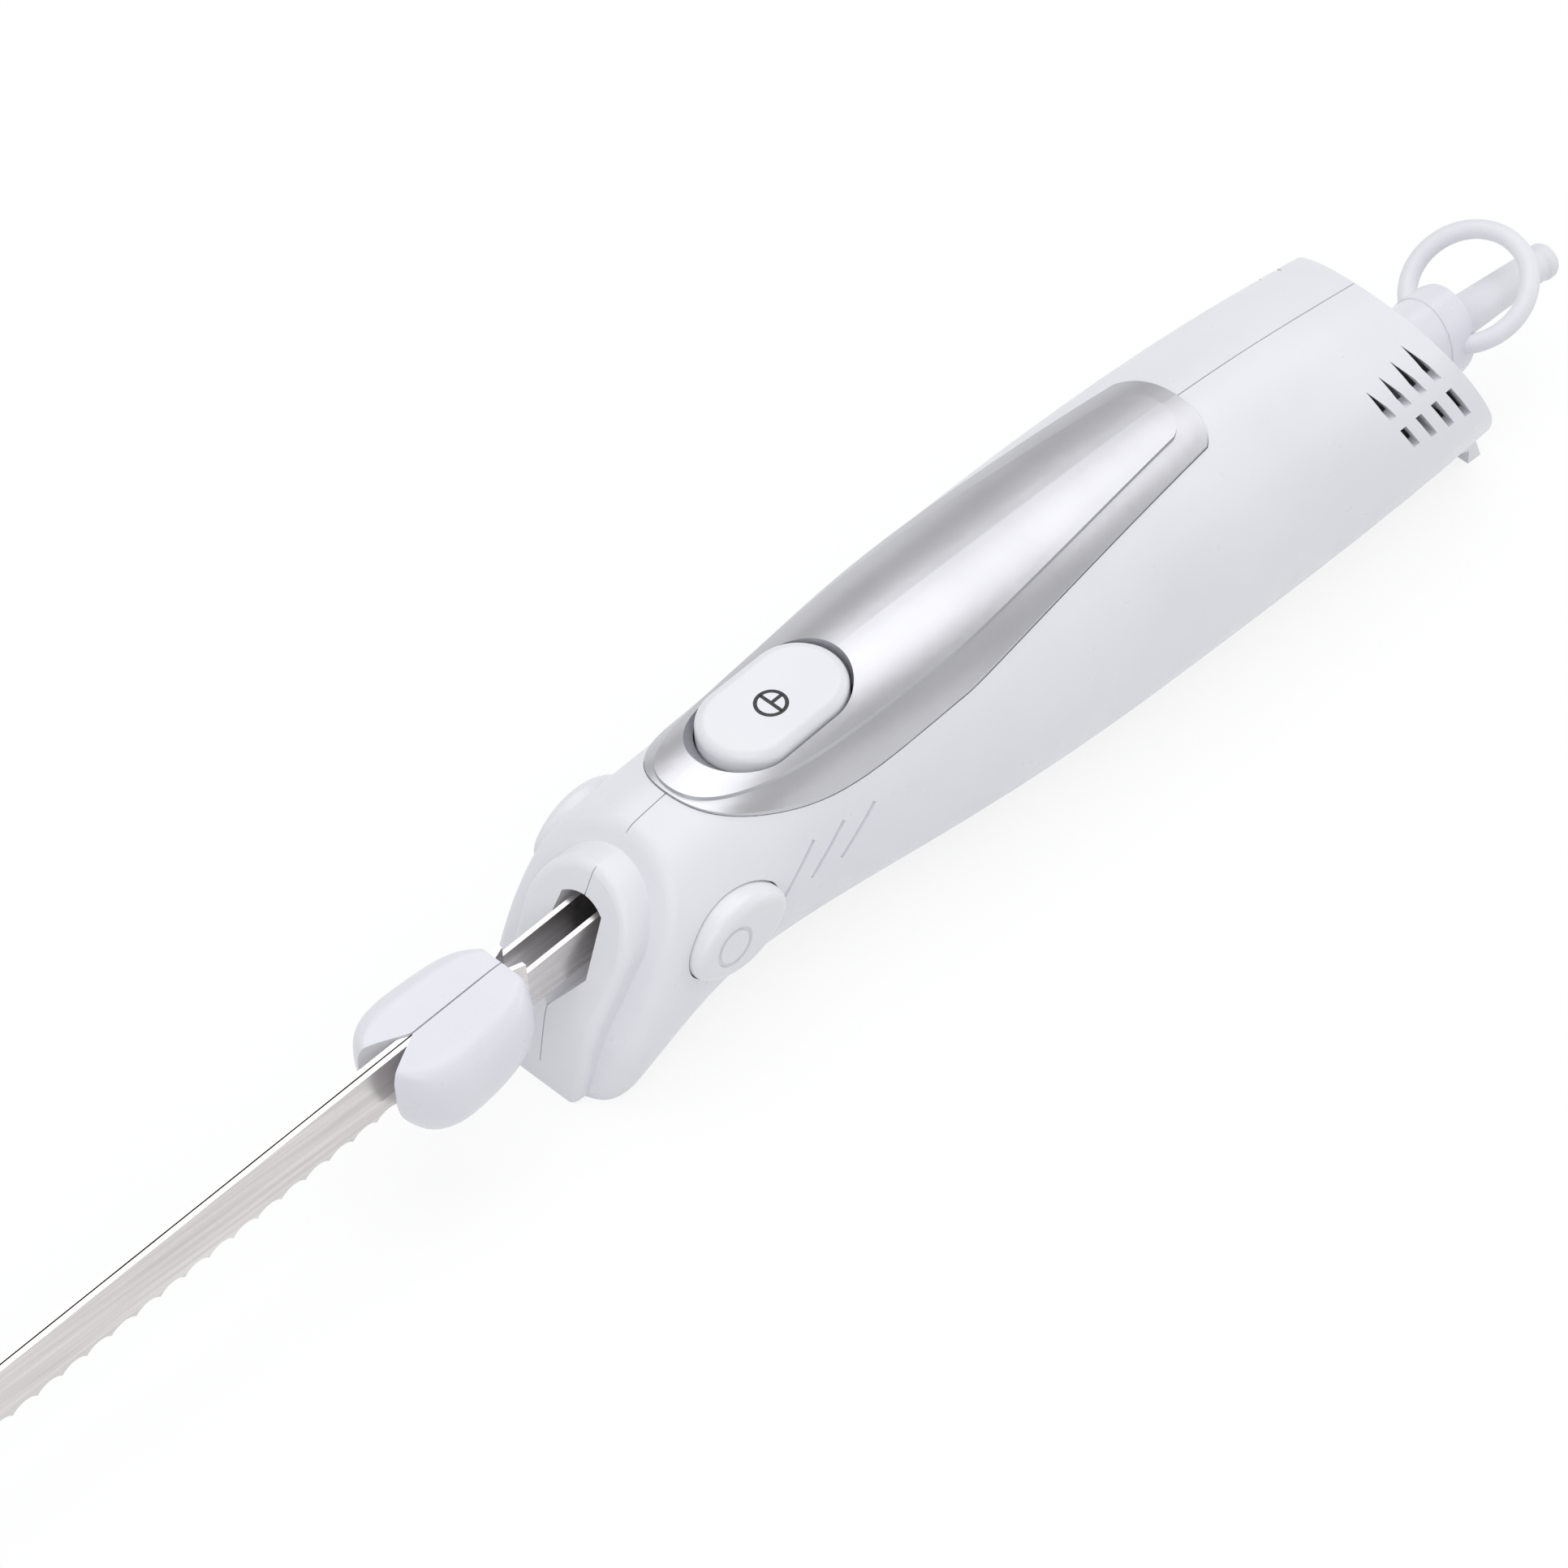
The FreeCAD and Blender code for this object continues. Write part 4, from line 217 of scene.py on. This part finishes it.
# Two near tones and a roughness for each of the record's material slots
FINISHES = {
    "white_shell": moulded("gloss_white_shell", srgb(240, 240, 244), srgb(235, 235, 240), 0.32),
    "silver_cover": silver_paint("satin_silver_paint", srgb(199, 199, 204), srgb(193, 193, 198), 0.36),
    "white_button": moulded("gloss_white_button", srgb(240, 240, 243), srgb(234, 234, 239), 0.22),
    "white_grip": moulded("white_blade_grip", srgb(238, 238, 243), srgb(231, 231, 238), 0.3),
    "blade_steel": brushed("ground_blade_steel", srgb(222, 219, 218), srgb(204, 201, 199), 0.3, ALONG),
    "machine_steel": turned_metal("turned_steel", srgb(182, 182, 184), srgb(160, 160, 163), 0.3),
    "spring_steel": turned_metal("spring_steel", srgb(176, 178, 182), srgb(150, 152, 158), 0.28),
    "screw_steel": turned_metal("screw_steel", srgb(192, 192, 190), srgb(166, 166, 166), 0.32),
    "white_rubber": moulded("white_soft_vinyl", srgb(237, 237, 240), srgb(230, 230, 235), 0.45, VINYL_GRAIN),
    "white_loop": moulded("white_nylon_loop", srgb(240, 240, 242), srgb(233, 233, 238), 0.38),
    "white_collar": moulded("white_collar", srgb(238, 238, 242), srgb(231, 231, 238), 0.3),
    "frame_plastic": moulded("grey_frame_plastic", srgb(96, 96, 100), srgb(84, 84, 88), 0.5, COARSE_GRAIN),
    "slider_plastic": moulded("slider_plastic", srgb(206, 204, 196), srgb(194, 192, 184), 0.45),
    "gear_plastic": moulded("gear_plastic", srgb(222, 216, 196), srgb(208, 202, 182), 0.45),
    "bronze": turned_metal("sintered_bronze", srgb(176, 138, 84), srgb(150, 112, 66), 0.42),
    "lamination": brushed("stacked_laminations", srgb(142, 142, 146), srgb(96, 96, 102), 0.45, STACKED),
    "copper": brushed("enamelled_copper", srgb(190, 108, 62), srgb(158, 82, 44), 0.3, ALONG),
    "commutator_copper": turned_metal("commutator_copper", srgb(198, 124, 80), srgb(168, 96, 58), 0.3),
    "carbon": moulded("brush_carbon", srgb(46, 46, 48), srgb(34, 34, 36), 0.6, COARSE_GRAIN),
    "brass_holder": turned_metal("brass_holder", srgb(206, 176, 104), srgb(184, 152, 84), 0.32),
    "fan_plastic": moulded("fan_plastic", srgb(58, 60, 66), srgb(48, 50, 56), 0.5),
    "switch_plastic": moulded("switch_plastic", srgb(40, 40, 44), srgb(32, 32, 36), 0.45),
    "capacitor_case": moulded("capacitor_case", srgb(196, 160, 54), srgb(180, 144, 44), 0.45),
}

for node in NODES.values():
    slot = node.material_slots[0]
    slot.material = FINISHES[slot.material.name].material


# The push-button sign printed on the power button

# A point above the button's top, over the middle of the sign
SIGN_MIDDLE = Vector((0.0511, -0.0010, 0.0600))
SIGN_RADIUS = 0.0032
SIGN_STROKE = 0.00072
INK_LIFT = 0.00003
RING_STEPS = 64
BAR_STEPS = 12
STEM_STEPS = 6
WELD_DISTANCE = 0.000001


def printed_sign():
    """A ring, a bar across it and a stem to one side, laid on the button's top."""
    button = NODES["power_button"]
    top = BVHTree.FromPolygons([v.co for v in button.data.vertices],
                               [p.vertices for p in button.data.polygons])
    work = bmesh.new()

    def on_top(x, y):
        place, normal, _, _ = top.ray_cast(SIGN_MIDDLE + Vector((x, y, 0)), Vector((0, 0, -1)))
        return place + normal * INK_LIFT

    def strip(rungs):
        rows = [[work.verts.new(on_top(*point)) for point in rung] for rung in rungs]
        for (left, right), (next_left, next_right) in zip(rows, rows[1:]):
            work.faces.new((left, next_left, next_right, right))

    inner = SIGN_RADIUS - SIGN_STROKE
    ring = []
    for step in range(RING_STEPS + 1):
        angle = math.tau * step / RING_STEPS
        ring.append([(r * math.cos(angle), r * math.sin(angle)) for r in (inner, SIGN_RADIUS)])
    strip(ring)
    half = SIGN_STROKE / 2
    reach = inner + half
    bar = [reach * (2 * k / BAR_STEPS - 1) for k in range(BAR_STEPS + 1)]
    strip([[(-half, y), (half, y)] for y in bar])
    stem = [half + (reach - half) * k / STEM_STEPS for k in range(STEM_STEPS + 1)]
    strip([[(x, -half), (x, half)] for x in stem])
    bmesh.ops.remove_doubles(work, verts=work.verts, dist=WELD_DISTANCE)
    bmesh.ops.recalc_face_normals(work, faces=work.faces)
    mesh = bpy.data.meshes.new("button_sign")
    work.to_mesh(mesh)
    work.free()
    sign = bpy.data.objects.new("button_sign", mesh)
    bpy.context.scene.collection.objects.link(sign)
    ink = printed_ink("printed_ink", srgb(34, 34, 38), srgb(48, 48, 52), 0.5)
    mesh.materials.append(ink.material)
    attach(sign, "power_button")


printed_sign()


# Return springs

def return_spring(node, joint):
    """A copy of a spring, fixed to the body that its button presses against, with its node hidden."""
    spring = bpy.data.objects.new(node.name + "_coil", node.data.copy())
    bpy.context.scene.collection.objects.link(spring)
    push = Vector(joint["axis"])
    seat = max((v.co for v in spring.data.vertices), key=push.dot).copy()
    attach(spring, joint["parent"])
    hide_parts(node.name)
    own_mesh(spring)


for joint in frame["joints"]:
    if joint["name"].endswith("_press"):
        for entry in joint["deforming_nodes"]:
            return_spring(NODES[entry["node"]], joint)


# Floor, world, lamps and camera

# The point that the lamps and cards face
KNIFE_MIDDLE = Vector((0.06, 0.0, 0.03))

# The floor's tone as it lights the knife, and its tone and glow where it is seen
FLOOR_SIZE = 8.0
FLOOR_TONE = 0.8
FLOOR_SEEN_TONE = 0.22
FLOOR_SEEN_GLOW = 0.8

# The surround's colour and strength as light, and its strength where it is seen
WHITE = (1, 1, 1, 1)
SKY_COLOUR = (0.95, 0.97, 1, 1)
SKY_LIGHT = 0.54
SKY_SEEN = 1.0

# Name, place, side and power of each lamp
LAMPS = (
    ("key", (0.22, 0.20, 1.04), 1.15, 4.5),
    ("fill", (-0.75, -0.55, 0.75), 0.9, 3.0),
    ("rim", (1.10, -0.55, 0.55), 0.8, 2.2),
)

# Name, place, width and height, and tone of each reflection card
CARDS = (
    ("far_card", (0.48, 0.64, 0.48), (1.6, 0.40), 0.46),
    ("near_card", (0.46, -0.60, 0.62), (1.6, 0.6), 0.5),
)

# The camera's axes, the point it looks at, and its lens in millimetres
RIGHT = Vector((0.6997, -0.7145, 0.0))
UP = Vector((0.5114, 0.5008, 0.6984))
BACK = Vector((-0.4990, -0.4887, 0.7157))
AIM = Vector((0.040, 0.0, 0.025)) + RIGHT * 0.01072 + UP * 0.01087
CAMERA_DISTANCE = 1.5
CAMERA_NEAR_CLIP = 0.01
SENSOR_WIDTH = 36
LENS = 193.3


def grey(tone):
    """A neutral colour."""
    return tone, tone, tone, 1


def seen_directly(tree):
    """One where the camera, a reflection or clear glass sees the surface, and nought for its light."""
    path = tree.nodes.new("ShaderNodeLightPath")
    seen = path.outputs["Is Camera Ray"]
    for name in ("Is Glossy Ray", "Is Transmission Ray"):
        either = tree.nodes.new("ShaderNodeMath")
        either.operation = "MAXIMUM"
        tree.links.new(seen, either.inputs[0])
        tree.links.new(path.outputs[name], either.inputs[1])
        seen = either.outputs[0]
    return seen


def light_or_seen(tree, light, seen, output):
    """Gives a surface one shader as light, and another where it is seen."""
    mix = tree.nodes.new("ShaderNodeMixShader")
    tree.links.new(seen_directly(tree), mix.inputs[0])
    tree.links.new(light.outputs[0], mix.inputs[1])
    tree.links.new(seen.outputs[0], mix.inputs[2])
    tree.links.new(mix.outputs[0], tree.nodes.new(output).inputs["Surface"])


def bare_material(name):
    """A material with no nodes yet."""
    material = bpy.data.materials.new(name)
    material.use_nodes = True
    material.node_tree.nodes.clear()
    return material


def flat_sheet(name, width, height, material):
    """A level sheet round the origin."""
    x, y = width / 2, height / 2
    mesh = bpy.data.meshes.new(name)
    mesh.from_pydata([(-x, -y, 0), (x, -y, 0), (x, y, 0), (-x, y, 0)], [], [(0, 1, 2, 3)])
    mesh.materials.append(material)
    return bpy.data.objects.new(name, mesh)


def pale_floor():
    """A plain pale floor that keeps the knife's soft shadow."""
    material = bare_material("pale_floor")
    tree = material.node_tree
    plain = tree.nodes.new("ShaderNodeBsdfDiffuse")
    plain.inputs["Color"].default_value = grey(FLOOR_TONE)
    shade = tree.nodes.new("ShaderNodeBsdfDiffuse")
    shade.inputs["Color"].default_value = grey(FLOOR_SEEN_TONE)
    glow = tree.nodes.new("ShaderNodeEmission")
    glow.inputs["Color"].default_value = WHITE
    glow.inputs["Strength"].default_value = FLOOR_SEEN_GLOW
    white = tree.nodes.new("ShaderNodeAddShader")
    tree.links.new(shade.outputs[0], white.inputs[0])
    tree.links.new(glow.outputs[0], white.inputs[1])
    light_or_seen(tree, plain, white, "ShaderNodeOutputMaterial")
    floor = flat_sheet("floor", FLOOR_SIZE, FLOOR_SIZE, material)
    bpy.context.scene.collection.objects.link(floor)


def studio_world():
    """An even white surround, dimmer as light than as background."""
    world = bpy.data.worlds.new("studio")
    bpy.context.scene.world = world
    world.use_nodes = True
    tree = world.node_tree
    tree.nodes.clear()
    light = tree.nodes.new("ShaderNodeBackground")
    light.inputs["Color"].default_value = SKY_COLOUR
    light.inputs["Strength"].default_value = SKY_LIGHT
    white = tree.nodes.new("ShaderNodeBackground")
    white.inputs["Color"].default_value = WHITE
    white.inputs["Strength"].default_value = SKY_SEEN
    light_or_seen(tree, light, white, "ShaderNodeOutputWorld")


def towards_knife(item, place):
    """Sets an item at a place with its face to the knife."""
    item.location = place
    item.rotation_euler = (KNIFE_MIDDLE - Vector(place)).to_track_quat("-Z", "Y").to_euler()
    bpy.context.scene.collection.objects.link(item)


def lamp(name, place, size, power):
    """A square soft box that points at the knife."""
    data = bpy.data.lights.new(name, "AREA")
    data.size = size
    data.energy = power
    towards_knife(bpy.data.objects.new(name, data), place)


def reflection_card(name, place, size, tone):
    """A grey card beside the knife that only reflections show."""
    material = bare_material(name)
    tree = material.node_tree
    glow = tree.nodes.new("ShaderNodeEmission")
    glow.inputs["Color"].default_value = grey(tone)
    out = tree.nodes.new("ShaderNodeOutputMaterial")
    tree.links.new(glow.outputs[0], out.inputs["Surface"])
    card = flat_sheet(name, *size, material)
    card.visible_camera = False
    card.visible_diffuse = False
    card.visible_transmission = False
    card.visible_shadow = False
    towards_knife(card, place)


def photo_camera():
    """The photograph's viewpoint: 45.7 degrees up, from the front left."""
    data = bpy.data.cameras.new("photo_view")
    data.sensor_width = SENSOR_WIDTH
    data.lens = LENS
    data.clip_start = CAMERA_NEAR_CLIP
    camera = bpy.data.objects.new("photo_view", data)
    axes = Matrix((RIGHT, UP, BACK)).transposed().to_4x4()
    camera.matrix_world = Matrix.Translation(AIM + BACK * CAMERA_DISTANCE) @ axes
    bpy.context.scene.collection.objects.link(camera)
    bpy.context.scene.camera = camera


pale_floor()
studio_world()
for row in LAMPS:
    lamp(*row)
for row in CARDS:
    reflection_card(*row)
photo_camera()
bpy.context.scene.view_settings.view_transform = "Standard"
